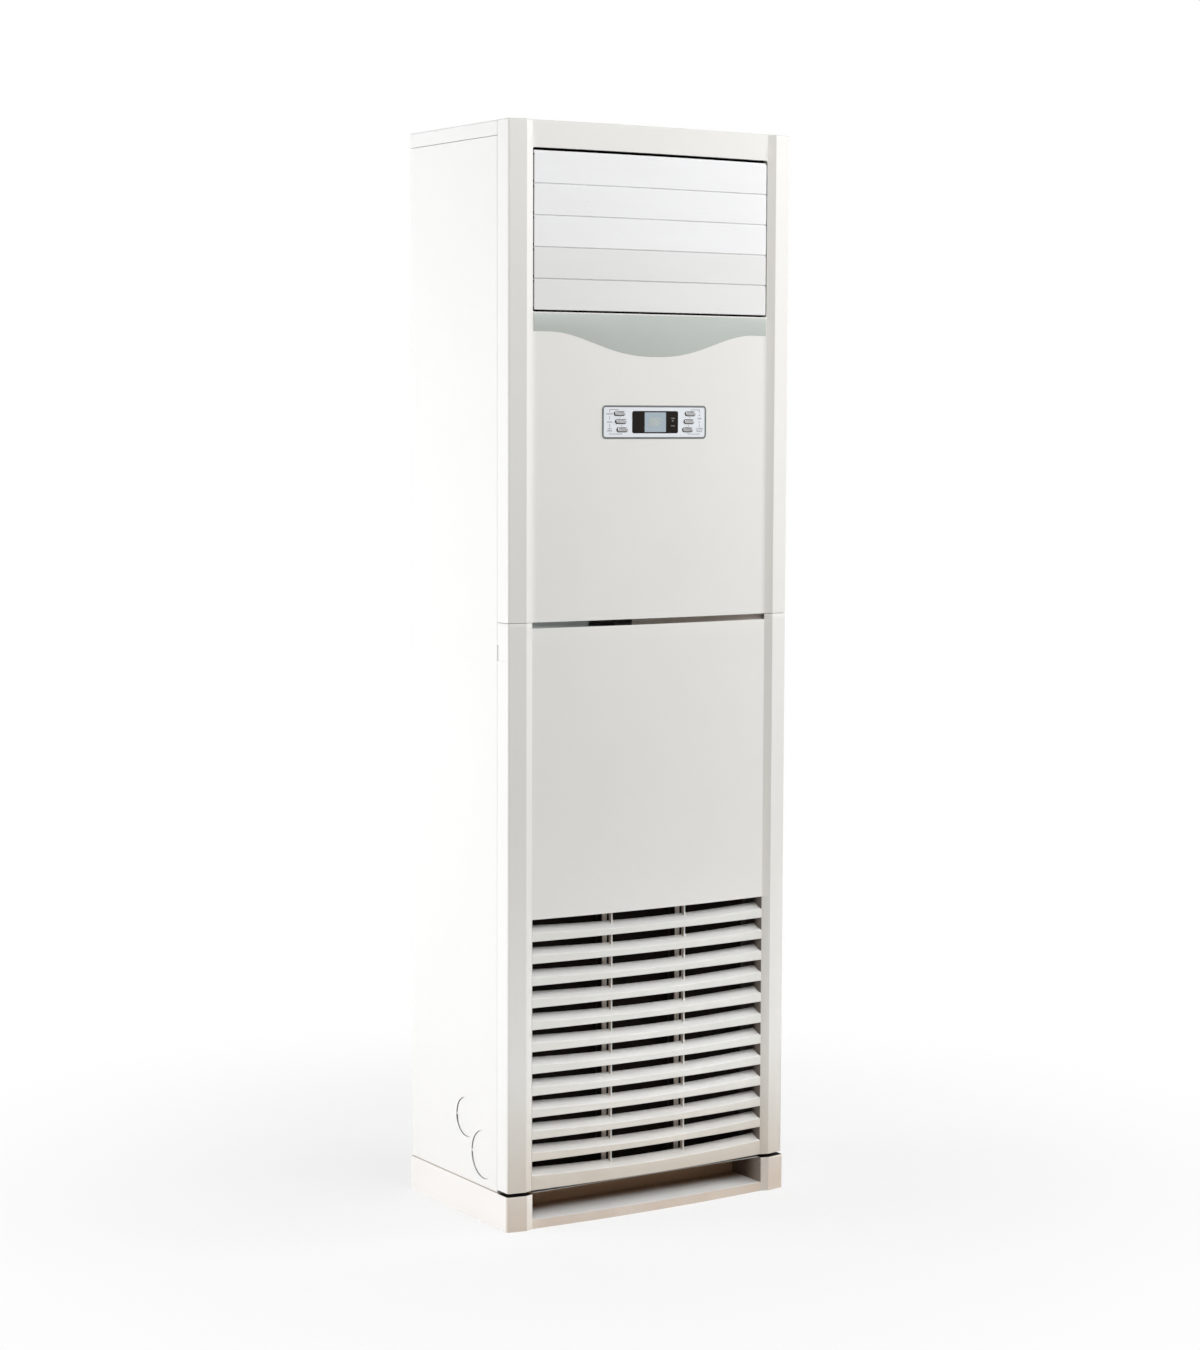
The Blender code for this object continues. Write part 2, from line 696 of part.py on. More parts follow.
def louvre_height(index):
    """Height of a blade's pins, the first at the top."""
    return OUTLET_BOTTOM + LOUVRE_FOOT_GAP + LOUVRE_PITCH * (LOUVRE_COUNT - index - 0.5)


def make_duct():
    """Liner behind the outlet, open to the front, with the bearings of the blades in its sides."""
    low = OUTLET_BOTTOM - DUCT_CLEARANCE
    high = OUTLET_TOP + DUCT_CLEARANCE
    back = RIDGE_Y + DUCT_DEPTH
    front = [Vector((x, panel_y(x) + WALL + SEAT)) for x in [-DUCT_HALF] + STATIONS + [DUCT_HALF]]
    outline = front + [Vector((DUCT_HALF, back)), Vector((-DUCT_HALF, back))]
    duct = prism("outlet_duct", outline, low - DUCT_WALL, high + DUCT_WALL)
    inner = DUCT_HALF - DUCT_WALL
    tools = [box("air", (-inner, RIDGE_Y - WRAP, low), (inner, back - DUCT_WALL, high))]
    for index in range(LOUVRE_COUNT):
        centre = (PIVOT_Y, louvre_height(index))
        for side in (-1, 1):
            ends = sorted((side * (inner - WALL), side * (DUCT_HALF + WALL)))
            tools.append(rod("bearing", PIN_RADIUS + PIN_CLEARANCE, *ends, centre))
    return combine(duct, tools, "DIFFERENCE", "MANIFOLD")


def make_vanes():
    """Upright guide vanes, carried by a tie bar."""
    front = RIDGE_Y + VANE_FRONT
    low = OUTLET_BOTTOM - DUCT_CLEARANCE + SEAT
    high = OUTLET_TOP + DUCT_CLEARANCE - SEAT
    middle = (low + high) / 2
    spacing = 2 * OUTLET_HALF / (VANE_COUNT + 1)
    reach = spacing * (VANE_COUNT - 1) / 2
    bar_y = front + VANE_DEPTH * 0.7
    bar_low = (-reach, bar_y, middle - TIE_BAR / 2)
    bar = box("air_guide_vanes", bar_low, (reach, bar_y + TIE_BAR, middle + TIE_BAR / 2))
    vanes = []
    for k in range(VANE_COUNT):
        x = spacing * k - reach
        half = VANE_THICKNESS / 2
        nose = [Vector((x - half, front + half)), Vector((x, front)), Vector((x + half, front + half))]
        tail = [Vector((x + half / 2, front + VANE_DEPTH)), Vector((x - half / 2, front + VANE_DEPTH))]
        vanes.append(prism("vane", nose + tail, low, high))
    return fuse(bar, *vanes)


def louvre_section():
    """Section in Y and Z of a blade about its front face.

    A tongue along the upper edge reaches behind the blade above, and a rib stiffens the lower edge.
    """
    top = LOUVRE_HEIGHT / 2
    skin = LOUVRE_SKIN
    tongue_front = skin + SEAT
    tongue_back = tongue_front + TONGUE_THICKNESS
    tip = top + LOUVRE_GAP + TONGUE_OVERLAP
    shoulder = Vector((tongue_front, top))
    front_top = Vector((0, top))
    front_foot = Vector((0, -top))
    back_foot = Vector((skin, -top))
    outer = [Vector(p) for p in ((LOUVRE_LIP, top), (tongue_back, top), (tongue_back, tip), (tongue_front, tip))]
    outer.append(shoulder)
    outer += round_corner(shoulder, front_top, front_foot, LOUVRE_ROUND)
    outer += round_corner(front_top, front_foot, back_foot, LOUVRE_ROUND)
    outer.append(back_foot)
    rib = -top + BLADE_RIB_RISE
    inner = (
        (skin, rib),
        (LOUVRE_LIP, rib),
        (LOUVRE_LIP, rib + TONGUE_THICKNESS),
        (skin, rib + TONGUE_THICKNESS),
        (skin, top - skin),
        (LOUVRE_LIP, top - skin),
    )
    return outer + [Vector(p) for p in inner]


def ear_outline():
    """Outline in Y and Z of a blade's end ear about the pins' axis."""
    front = -PIVOT_DEPTH + LOUVRE_SKIN / 2
    reach = LOUVRE_HEIGHT / 2 - LOUVRE_ROUND
    outline = [Vector((front, reach)), Vector((front, -reach))]
    for step in range(9):
        angle = math.radians(-70 + 140 * step / 8)
        outline.append(Vector((EAR_RADIUS * math.cos(angle), EAR_RADIUS * math.sin(angle))))
    return outline


def make_louvre_mesh():
    """One blade about its pins' axis: bowed skin, end ears and pins."""
    stations = [-LOUVRE_HALF] + STATIONS[1:-1] + [LOUVRE_HALF]
    section = louvre_section()
    rings = [[(x, panel_y(x) - PIVOT_Y + p.x, p.y) for p in section] for x in stations]
    blade = loft("louvre", rings)
    pieces = []
    pin_end = DUCT_HALF - SEAT
    for side in (-1, 1):
        ear = sorted((side * (LOUVRE_HALF - SEAT), side * (LOUVRE_HALF - SEAT - EAR_WIDTH)))
        pin = sorted((side * (LOUVRE_HALF - EAR_WIDTH), side * pin_end))
        pieces.append(side_prism("ear", ear_outline(), *ear))
        pieces.append(rod("pin", PIN_RADIUS, *pin, (0, 0)))
    fuse(blade, *pieces)
    mesh = blade.data
    bpy.data.objects.remove(blade)
    return mesh


def make_louvres(material):
    """Five blades that share one mesh, each with its origin on its pins' axis."""
    mesh = make_louvre_mesh()
    for index in range(LOUVRE_COUNT):
        blade = bpy.data.objects.new(f"outlet_louver_{index + 1}", mesh)
        blade.location = (0, PIVOT_Y, louvre_height(index))
        bpy.context.collection.objects.link(blade)
        finish(blade, material)


def make_band():
    """Silver band in its bed under the outlet."""
    return bowed_plate("wave_trim", band_outline(), -BAND_PROUD, BAND_THICKNESS - BAND_PROUD)


def make_bezel():
    """Dark frame round the control panel."""
    bezel = bowed_plate("control_bezel", control_outline(SEAT), -BEZEL_PROUD, WALL)
    hole = bowed_plate("hole", control_outline(SEAT + BEZEL_WIDTH), -WALL, 2 * WALL)
    return cut(bezel, hole)


def pill(width, height, centre=(0, 0)):
    """Outline in X and Z of a lying pill."""
    half = height / 2
    reach = width / 2 - half
    turns = [math.pi * k / 6 - math.pi / 2 for k in range(7)]
    right = [Vector((centre[0] + reach + half * math.cos(a), centre[1] + half * math.sin(a))) for a in turns]
    left = [Vector((centre[0] - reach - half * math.cos(a), centre[1] - half * math.sin(a))) for a in turns]
    return right + left


def button_centres():
    """Middles of the buttons: three to the left of the display, then three to the right, top first."""
    return [(side * x, PANEL_Z + z) for side in (-1, 1) for x, z in BUTTON_PLACES]


def window_outline(distance=0.0):
    """Outline of the display window, grown by a distance."""
    half_width = WINDOW_WIDTH / 2 + distance
    half_height = WINDOW_HEIGHT / 2 + distance
    corners = rectangle(-half_width, half_width, PANEL_Z - half_height, PANEL_Z + half_height)
    return rounded_loop(corners, WINDOW_RADIUS + distance)


def make_control_face():
    """Silver face of the control panel, with its holes for the window and the buttons."""
    face = bowed_plate(
        "control_face", control_outline(2 * SEAT + BEZEL_WIDTH), -FACE_PROUD, FACE_THICKNESS - FACE_PROUD
    )
    tools = [bowed_plate("hole", window_outline(SEAT), -WALL, 2 * WALL)]
    for centre in button_centres():
        grow = 2 * BUTTON_CLEARANCE
        hole = pill(BUTTON_WIDTH + grow, BUTTON_HEIGHT + grow, centre)
        tools.append(flat_plate("hole", hole, RIDGE_Y - WRAP, RIDGE_Y + WRAP))
    return cut(face, *tools)


def lcd_outline(distance=0.0):
    """Outline of the screen, grown by a distance."""
    half_width = LCD_WIDTH / 2 + distance
    half_height = LCD_HEIGHT / 2 + distance
    return rectangle(-half_width, half_width, PANEL_Z - half_height, PANEL_Z + half_height)


def make_window():
    """Black display window with a pocket for the screen."""
    window = bowed_plate("display_window", window_outline(), -WINDOW_PROUD, FACE_THICKNESS)
    pocket = bowed_plate("pocket", lcd_outline(SEAT), -WALL, LCD_POCKET - WINDOW_PROUD)
    return cut(window, pocket)


def make_screen():
    """Screen in its pocket."""
    return bowed_plate("lcd_screen", lcd_outline(), SEAT - WINDOW_PROUD, LCD_POCKET - SEAT - WINDOW_PROUD)


def make_buttons(material):
    """Six buttons, each with a flange behind the face that keeps it in."""
    for index, (x, z) in enumerate(button_centres()):
        surface = panel_y(x)
        cap_rings = []
        for depth, shrink in ((BUTTON_PROUD, 0.0006), (BUTTON_PROUD - 0.0006, 0.0), (-FACE_THICKNESS - SEAT, 0.0)):
            outline = pill(BUTTON_WIDTH - 2 * shrink, BUTTON_HEIGHT - 2 * shrink)
            cap_rings.append([(p.x, -depth, p.y) for p in outline])
        name = f"button_{'left' if x < 0 else 'right'}_{index % 3 + 1}"
        button = loft(name, cap_rings, (x, surface, z))
        skirt = pill(BUTTON_WIDTH + 2 * BUTTON_FLANGE, BUTTON_HEIGHT + 2 * BUTTON_FLANGE)
        depth = FACE_THICKNESS + SEAT / 2
        flange = loft("flange", [[(p.x, y, p.y) for p in skirt] for y in (depth, depth + BUTTON_FLANGE)])
        flange.location = (x, surface, z)
        finish(fuse(button, flange), material)


def main():
    """Clears the scene and builds every piece."""
    for old in list(bpy.data.objects):
        bpy.data.objects.remove(old)
    shell = make_material("warm_white_plastic", (0.80, 0.80, 0.77), 0.35)
    steel = make_material("white_painted_steel", (0.83, 0.83, 0.81), 0.4)
    base = make_material("white_plinth_plastic", (0.76, 0.74, 0.70), 0.4)
    blade = make_material("louvre_plastic", (0.80, 0.80, 0.78), 0.35)
    dark = make_material("dark_liner", (0.03, 0.03, 0.03), 0.7)
    silver = make_material("silver_trim", (0.58, 0.61, 0.59), 0.3, 0.5)
    zinc = make_material("galvanised_sheet", (0.45, 0.44, 0.42), 0.5, 0.7)
    graphite = make_material("graphite_bezel", (0.16, 0.17, 0.18), 0.4)
    face = make_material("silver_blue_face", (0.62, 0.67, 0.71), 0.35, 0.3)
    black = make_material("black_window", (0.01, 0.01, 0.012), 0.1)
    screen = make_material("screen_glass", (0.55, 0.60, 0.62), 0.2)
    chrome = make_material("chrome", (0.75, 0.75, 0.76), 0.12, 1.0)
    finish(make_plinth(), base)
    finish(make_side_panel("side_panel_left", -1), steel)
    finish(make_side_panel("side_panel_right", 1), steel)
    finish(make_back_panel(), steel)
    finish(make_top_cover(), steel)
    finish(make_bottom_pan(), zinc)
    finish(make_divider_rail(), zinc)
    finish(make_upper_front(), shell)
    finish(make_lower_front(), shell)
    finish(make_grille(), shell)
    finish(make_filter_frame(), dark)
    finish(make_filter_mesh(), dark)
    finish(make_duct(), dark)
    finish(make_vanes(), dark)
    make_louvres(blade)
    finish(make_band(), silver)
    finish(make_bezel(), graphite)
    finish(make_control_face(), face)
    finish(make_window(), black)
    finish(make_screen(), screen)
    make_buttons(chrome)


main()
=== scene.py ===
"""Looks of a floor standing air conditioner: fine mouldings, louvres, grille, trim, panel and studio."""

import json
import logging
import math
from dataclasses import dataclass
from enum import Enum
from typing import Callable, Sequence

import bmesh
import bpy
from mathutils import Matrix, Vector

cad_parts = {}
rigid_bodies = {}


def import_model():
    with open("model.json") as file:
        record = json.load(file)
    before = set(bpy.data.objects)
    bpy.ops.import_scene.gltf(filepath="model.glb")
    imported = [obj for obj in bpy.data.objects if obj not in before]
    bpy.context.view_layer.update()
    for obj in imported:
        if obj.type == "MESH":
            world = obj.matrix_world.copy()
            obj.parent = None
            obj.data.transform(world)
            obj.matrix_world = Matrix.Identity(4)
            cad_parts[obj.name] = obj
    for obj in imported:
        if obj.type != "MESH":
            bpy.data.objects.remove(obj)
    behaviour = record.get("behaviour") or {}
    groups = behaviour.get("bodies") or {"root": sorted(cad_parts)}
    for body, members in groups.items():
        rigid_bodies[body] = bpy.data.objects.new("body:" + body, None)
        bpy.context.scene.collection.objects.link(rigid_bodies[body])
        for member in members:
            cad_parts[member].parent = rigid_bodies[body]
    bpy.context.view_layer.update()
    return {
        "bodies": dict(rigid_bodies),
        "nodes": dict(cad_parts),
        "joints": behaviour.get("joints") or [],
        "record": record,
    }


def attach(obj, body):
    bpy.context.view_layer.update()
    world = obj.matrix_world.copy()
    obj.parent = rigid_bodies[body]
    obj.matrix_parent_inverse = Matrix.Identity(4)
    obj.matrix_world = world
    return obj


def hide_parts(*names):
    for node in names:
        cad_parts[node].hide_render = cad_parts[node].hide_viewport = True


Point = tuple[float, float, float]
Flat = tuple[float, float]
Colour = tuple[float, float, float]
Row = Sequence[bmesh.types.BMVert]
Piece = bpy.types.Object
Tree = bpy.types.NodeTree
Signal = bpy.types.NodeSocket
Inputs = dict[str | int, object]

LOG = logging.getLogger("air_conditioner")
ROOT_BODY = "cabinet"
ANY = (-math.inf, math.inf)
# Tint of floor dust and of painted shade low on the front mouldings and grille.
BEIGE = (0.58, 0.49, 0.39)
SHADE_ANGLE = 35.0
MERGE_WITHIN = 1e-7
COPY_MERGE_WITHIN = 2e-6
FLAT_WITHIN = math.radians(0.1)


class Side(Enum):
    """The two sides of the cabinet, as the sign of X."""

    LEFT = -1
    RIGHT = 1


class Axis(Enum):
    """The direction that a straight body runs in, as its place in a point."""

    X = 0
    Y = 1
    Z = 2


class Slot(Enum):
    """The record's material slots."""

    SHELL = "shell_plastic"
    STEEL = "side_steel"
    PLINTH = "plinth_plastic"
    LOUVRE = "louvre_plastic"
    LINER = "dark_liner"
    SILVER = "silver_trim"
    ZINC = "zinc_sheet"
    GRAPHITE = "graphite_bezel"
    FACE = "panel_face"
    WINDOW = "window_black"
    SCREEN = "screen"
    CHROME = "chrome"


@dataclass(frozen=True)
class Sizes:
    """Sizes of the cabinet in metres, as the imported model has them."""

    half: float = 0.282
    ridge_y: float = -0.1666
    height: float = 1.850
    wall: float = 0.003
    seam: float = 0.0008
    corner_setback: float = 0.0058
    ridge_inset: float = 0.0324
    panel_half: float = 0.2356
    panel_setback: float = 0.0052
    bow_rise: float = 0.0095
    wrap: float = 0.0402
    corner_radius: float = 0.004
    ridge_radius: float = 0.0015
    edge_round: float = 0.0025
    front_bottom: float = 0.0655
    grille_top: float = 0.5270
    handle_bottom: float = 1.0157
    mid_seam: float = 1.0254
    outlet_bottom: float = 1.5380
    outlet_top: float = 1.8053
    outlet_half: float = 0.2350
    outlet_radius: float = 0.003
    panel_z: float = 1.3572

    def bow_y(self, x: float) -> float:
        """Depth of the bowed front surface at x."""
        share = min(1.0, abs(x) / self.panel_half)
        return self.ridge_y + self.panel_setback - self.bow_rise * (1 - share**2)


SIZES = Sizes()


# Paths and meshes


def quarter(steps: int) -> list[Flat]:
    """One minus the cosine and one minus the sine of each angle of a quarter turn."""
    angles = [math.radians(90 * step / steps) for step in range(steps + 1)]
    return [(1 - math.cos(angle), 1 - math.sin(angle)) for angle in angles]


def stations(half: float, steps: int) -> list[float]:
    """Evenly spaced places from minus half to half."""
    return [half * (2 * step / steps - 1) for step in range(steps + 1)]


def mirrored(path: Sequence[Vector]) -> list[Vector]:
    """The path on the other side of the cabinet, in the order that continues it."""
    return [Vector((-point.x, point.y)) for point in reversed(path)]


def round_corner(before: Vector, corner: Vector, after: Vector, radius: float, steps: int) -> list[Vector]:
    """Replaces one corner of a plane path by an arc.

    Args:
        before: the point before the corner.
        corner: the sharp corner.
        after: the point after it.
        radius: radius of the arc.
        steps: how many segments the arc has.

    Returns:
        The arc's points, from the side of before to the side of after.
    """
    to_before = (before - corner).normalized()
    to_after = (after - corner).normalized()
    half = to_before.angle(to_after) / 2
    start = corner + to_before * radius / math.tan(half)
    end = corner + to_after * radius / math.tan(half)
    centre = corner + (to_before + to_after).normalized() * radius / math.sin(half)
    sweep = math.pi - 2 * half
    arc = []
    for step in range(steps + 1):
        share = step / steps
        first = (start - centre) * math.sin(sweep * (1 - share))
        last = (end - centre) * math.sin(sweep * share)
        arc.append(centre + (first + last) / math.sin(sweep))
    return arc


def inset_path(path: Sequence[Vector], distance: float) -> list[Vector]:
    """Moves an open path to the left of its direction.

    Args:
        path: points of the path.
        distance: how far it moves.

    Returns:
        As many points, with mitred corners.
    """
    moved = []
    for index, point in enumerate(path):
        normals = []
        for a, b in ((index - 1, index), (index, index + 1)):
            if a >= 0 and b < len(path):
                along = (path[b] - path[a]).normalized()
                normals.append(Vector((-along.y, along.x)))
        middle = sum(normals, Vector((0, 0))).normalized()
        moved.append(point + middle * distance / middle.dot(normals[0]))
    return moved


def rounded_outline(low: Flat, high: Flat, radius: float, columns: int, arc_steps: int) -> list[Flat]:
    """Outline in X and Z of a rounded rectangle whose level edges are cut into columns.

    Args:
        low: lowest X and Z.
        high: highest X and Z.
        radius: radius of the corners.
        columns: segments along each level edge.
        arc_steps: segments in each corner.

    Returns:
        Points in order: lower edge to the right, right side, upper edge to the left, left side.
    """
    left, right = low[0] + radius, high[0] - radius
    points = [(left + (right - left) * index / columns, low[1]) for index in range(columns + 1)]
    corners = (
        ((right, low[1] + radius), -90.0),
        ((right, high[1] - radius), 0.0),
        ((left, high[1] - radius), 90.0),
        ((left, low[1] + radius), 180.0),
    )
    for number, (centre, start) in enumerate(corners):
        after_edge = number in (0, 2)
        for step in range(1 if after_edge else 0, arc_steps + (1 if after_edge else 0)):
            angle = math.radians(start + 90 * step / arc_steps)
            points.append((centre[0] + radius * math.cos(angle), centre[1] + radius * math.sin(angle)))
        if number == 1:
            points += [(right - (right - left) * index / columns, high[1]) for index in range(columns)]
            points.append((left, high[1]))
    return points


class MeshMaker:
    """Gathers faces in a bmesh and turns them into an object."""

    def __init__(self, name: str) -> None:
        """Starts an empty mesh under a name."""
        self.name = name
        self.shape = bmesh.new()

    def row(self, points: Sequence[Point]) -> Row:
        """Adds points as vertices and returns them."""
        return [self.shape.verts.new(point) for point in points]

    def face(self, corners: Row) -> None:
        """Adds a face where it has at least three different corners."""
        different = list(dict.fromkeys(corners))
        if len(different) > 2:
            self.shape.faces.new(different)

    def bridge(self, lower: Row, upper: Row, closed: bool) -> None:
        """Joins two rows of equally many vertices by quads.

        Args:
            lower: the first row.
            upper: the second row.
            closed: whether the rows are rings.
        """
        count = len(lower)
        for i in range(count if closed else count - 1):
            j = (i + 1) % count
            self.face((lower[i], lower[j], upper[j], upper[i]))

    def loft(self, rings: Sequence[Sequence[Point]], caps: bool = True) -> None:
        """Adds a body through closed rings.

        Args:
            rings: rings of equally many points.
            caps: whether the first and the last ring are filled.
        """
        rows = [self.row(ring) for ring in rings]
        for lower, upper in zip(rows, rows[1:]):
            self.bridge(lower, upper, True)
        if caps:
            self.face(rows[0][::-1])
            self.face(rows[-1])

    def prism(self, axis: Axis, outline: Sequence[Flat], near: float, far: float) -> None:
        """Adds a straight body.

        Args:
            axis: the direction that it runs in.
            outline: its section in the two other directions.
            near: where it starts.
            far: where it ends.
        """
        cut = axis.value
        self.loft([[(*point[:cut], place, *point[cut:]) for point in outline] for place in (near, far)])

    def build(self, smooth_angle: float = SHADE_ANGLE, outward: Vector | None = None) -> Piece:
        """Makes the object.

        Args:
            smooth_angle: edges flatter than this are shaded smooth, in degrees.
            outward: for an open skin, the way that its largest face looks.

        Returns:
            The linked object, which has no material yet.
        """
        bmesh.ops.remove_doubles(self.shape, verts=self.shape.verts, dist=MERGE_WITHIN)
        bmesh.ops.recalc_face_normals(self.shape, faces=self.shape.faces)
        if outward is not None:
            self.shape.normal_update()
            largest = max(self.shape.faces, key=lambda face: face.calc_area())
            if largest.normal.dot(outward) < 0:
                bmesh.ops.reverse_faces(self.shape, faces=self.shape.faces)
        return finished_object(self.name, self.shape, smooth_angle)


def finished_object(name: str, shape: bmesh.types.BMesh, smooth_angle: float) -> Piece:
    """Turns a bmesh into a linked object.

    Args:
        name: name of the object and its mesh.
        shape: the bmesh, which is freed.
        smooth_angle: edges flatter than this are shaded smooth, in degrees.

    Returns:
        The object, which has no material yet.
    """
    mesh = bpy.data.meshes.new(name)
    shape.to_mesh(mesh)
    shape.free()
    mesh.shade_smooth()
    mesh.set_sharp_from_angle(angle=math.radians(smooth_angle))
    made = bpy.data.objects.new(name, mesh)
    bpy.context.scene.collection.objects.link(made)
    return made


def thicken(piece: Piece, thickness: float, edge: float) -> None:
    """Gives an open skin a wall and softens the rim of it.

    Args:
        piece: the skin, with its faces looking outwards.
        thickness: wall behind the skin.
        edge: width of the softened rim.
    """
    wall = piece.modifiers.new("wall", "SOLIDIFY")
    wall.thickness = thickness
    wall.offset = -1
    wall.use_even_offset = True
    wall.bevel_convex = 1.0
    rim = piece.modifiers.new("rim", "BEVEL")
    rim.limit_method = "WEIGHT"
    rim.width = edge
    rim.segments = 2
    piece.modifiers.new("level_shading", "WEIGHTED_NORMAL").keep_sharp = True


def soften(piece: Piece, width: float, angle: float = 40.0) -> None:
    """Rounds the sharp edges of a closed piece.

    Args:
        piece: the closed mesh.
        width: width of the rounding.
        angle: edges sharper than this are rounded, in degrees.
    """
    edge = piece.modifiers.new("edge", "BEVEL")
    edge.limit_method = "ANGLE"
    edge.angle_limit = math.radians(angle)
    edge.width = width
    edge.segments = 2
    edge.use_clamp_overlap = True
    piece.modifiers.new("level_shading", "WEIGHTED_NORMAL").keep_sharp = True


def softened_copy(node: Piece, name: str, width: float) -> Piece:
    """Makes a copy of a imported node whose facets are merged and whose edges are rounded.

    Args:
        node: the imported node.
        name: name of the copy.
        width: width of the rounding.

    Returns:
        The copy, linked and without a parent.
    """
    shape = bmesh.new()
    shape.from_mesh(node.data)
    bmesh.ops.remove_doubles(shape, verts=shape.verts, dist=COPY_MERGE_WITHIN)
    bmesh.ops.dissolve_limit(shape, angle_limit=FLAT_WITHIN, verts=shape.verts, edges=shape.edges)
    copy = finished_object(name, shape, SHADE_ANGLE)
    copy.data.materials.clear()
    soften(copy, width)
    return copy


# Finishes


class Socket(Enum):
    """Kinds of socket of a shader node group."""

    COLOUR = "NodeSocketColor"
    VALUE = "NodeSocketFloat"
    VECTOR = "NodeSocketVector"


class Graph:
    """Adds nodes to a tree and joins them."""

    def __init__(self, tree: Tree) -> None:
        """Keeps the tree."""
        self.tree = tree

    def feed(self, node: bpy.types.Node, inputs: Inputs) -> None:
        """Fills a node's inputs.

        Args:
            node: the node.
            inputs: by name or number of an input, a value or the socket that is joined to it.
        """
        for key, given in inputs.items():
            if isinstance(given, Signal):
                self.tree.links.new(given, node.inputs[key])
            else:
                node.inputs[key].default_value = given

    def add(self, kind: str, inputs: Inputs | None = None, **settings: object) -> bpy.types.Node:
        """Adds a node.

        Args:
            kind: its type without the words that all types start with.
            inputs: what its inputs take, as feed has it.
            settings: its own properties.

        Returns:
            The node.
        """
        node = self.tree.nodes.new(f"ShaderNode{kind}")
        for name, value in settings.items():
            setattr(node, name, value)
        self.feed(node, inputs or {})
        return node

    def place(self) -> Signal:
        """Adds the coordinates of the object."""
        return self.add("TexCoord").outputs["Object"]

    def axes(self, place: Signal) -> bpy.types.NodeOutputs:
        """Splits coordinates into X, Y and Z."""
        return self.add("SeparateXYZ", {"Vector": place}).outputs

    def math(self, operation: str, *values: object, use_clamp: bool = False) -> Signal:
        """Adds a sum, a product or the like of values."""
        node = self.add("Math", dict(enumerate(values)), operation=operation, use_clamp=use_clamp)
        return node.outputs["Value"]

    def noise(self, place: Signal, scale: object, **more: float) -> Signal:
        """Adds clouds of noise at a scale, with further inputs of the noise by name."""
        return self.add("TexNoise", {"Vector": place, "Scale": scale, **more}).outputs["Fac"]

    def ramp(
        self,
        value: object,
        start: object,
        end: object,
        low: float = 0.0,
        high: float = 1.0,
        smooth: bool = True,
    ) -> Signal:
        """Adds a change from one value to another.

        Args:
            value: what drives the change.
            start: where it starts.
            end: where it ends.
            low: value at the start.
            high: value at the end.
            smooth: whether it eases in and out.

        Returns:
            The changing value.
        """
        inputs = {"Value": value, "From Min": start, "From Max": end, "To Min": low, "To Max": high}
        kind = "SMOOTHSTEP" if smooth else "LINEAR"
        return self.add("MapRange", inputs, interpolation_type=kind).outputs["Result"]

    def blend(self, share: object, first: object, second: object, kind: str = "RGBA") -> Signal:
        """Adds a mix of two colours, or of two values where kind is FLOAT."""
        return self.add("Mix", {"Factor": share, "A": first, "B": second}, data_type=kind).outputs["Result"]


class GroupMaker(Graph):
    """Builds one shader node group."""

    def __init__(self, name: str, inputs: dict[str, object], outputs: dict[str, Socket]) -> None:
        """Makes the group with its named sockets.

        Args:
            name: name of the group.
            inputs: default of each input, whose length tells its kind.
            outputs: kind of each output.
        """
        super().__init__(bpy.data.node_groups.new(name, "ShaderNodeTree"))
        for label, value in inputs.items():
            kind = Socket.VALUE
            if isinstance(value, tuple):
                kind = Socket.COLOUR if len(value) == 4 else Socket.VECTOR
            made = self.tree.interface.new_socket(name=label, in_out="INPUT", socket_type=kind.value)
            made.default_value = value
        for label, kind in outputs.items():
            self.tree.interface.new_socket(name=label, in_out="OUTPUT", socket_type=kind.value)
        self.given = self.tree.nodes.new("NodeGroupInput").outputs
        self.last = self.tree.nodes.new("NodeGroupOutput")

    def put_out(self, outputs: Inputs) -> Tree:
        """Joins the group's outputs and returns the finished group."""
        self.feed(self.last, outputs)
        return self.tree


PALE = (0.8, 0.8, 0.8, 1)


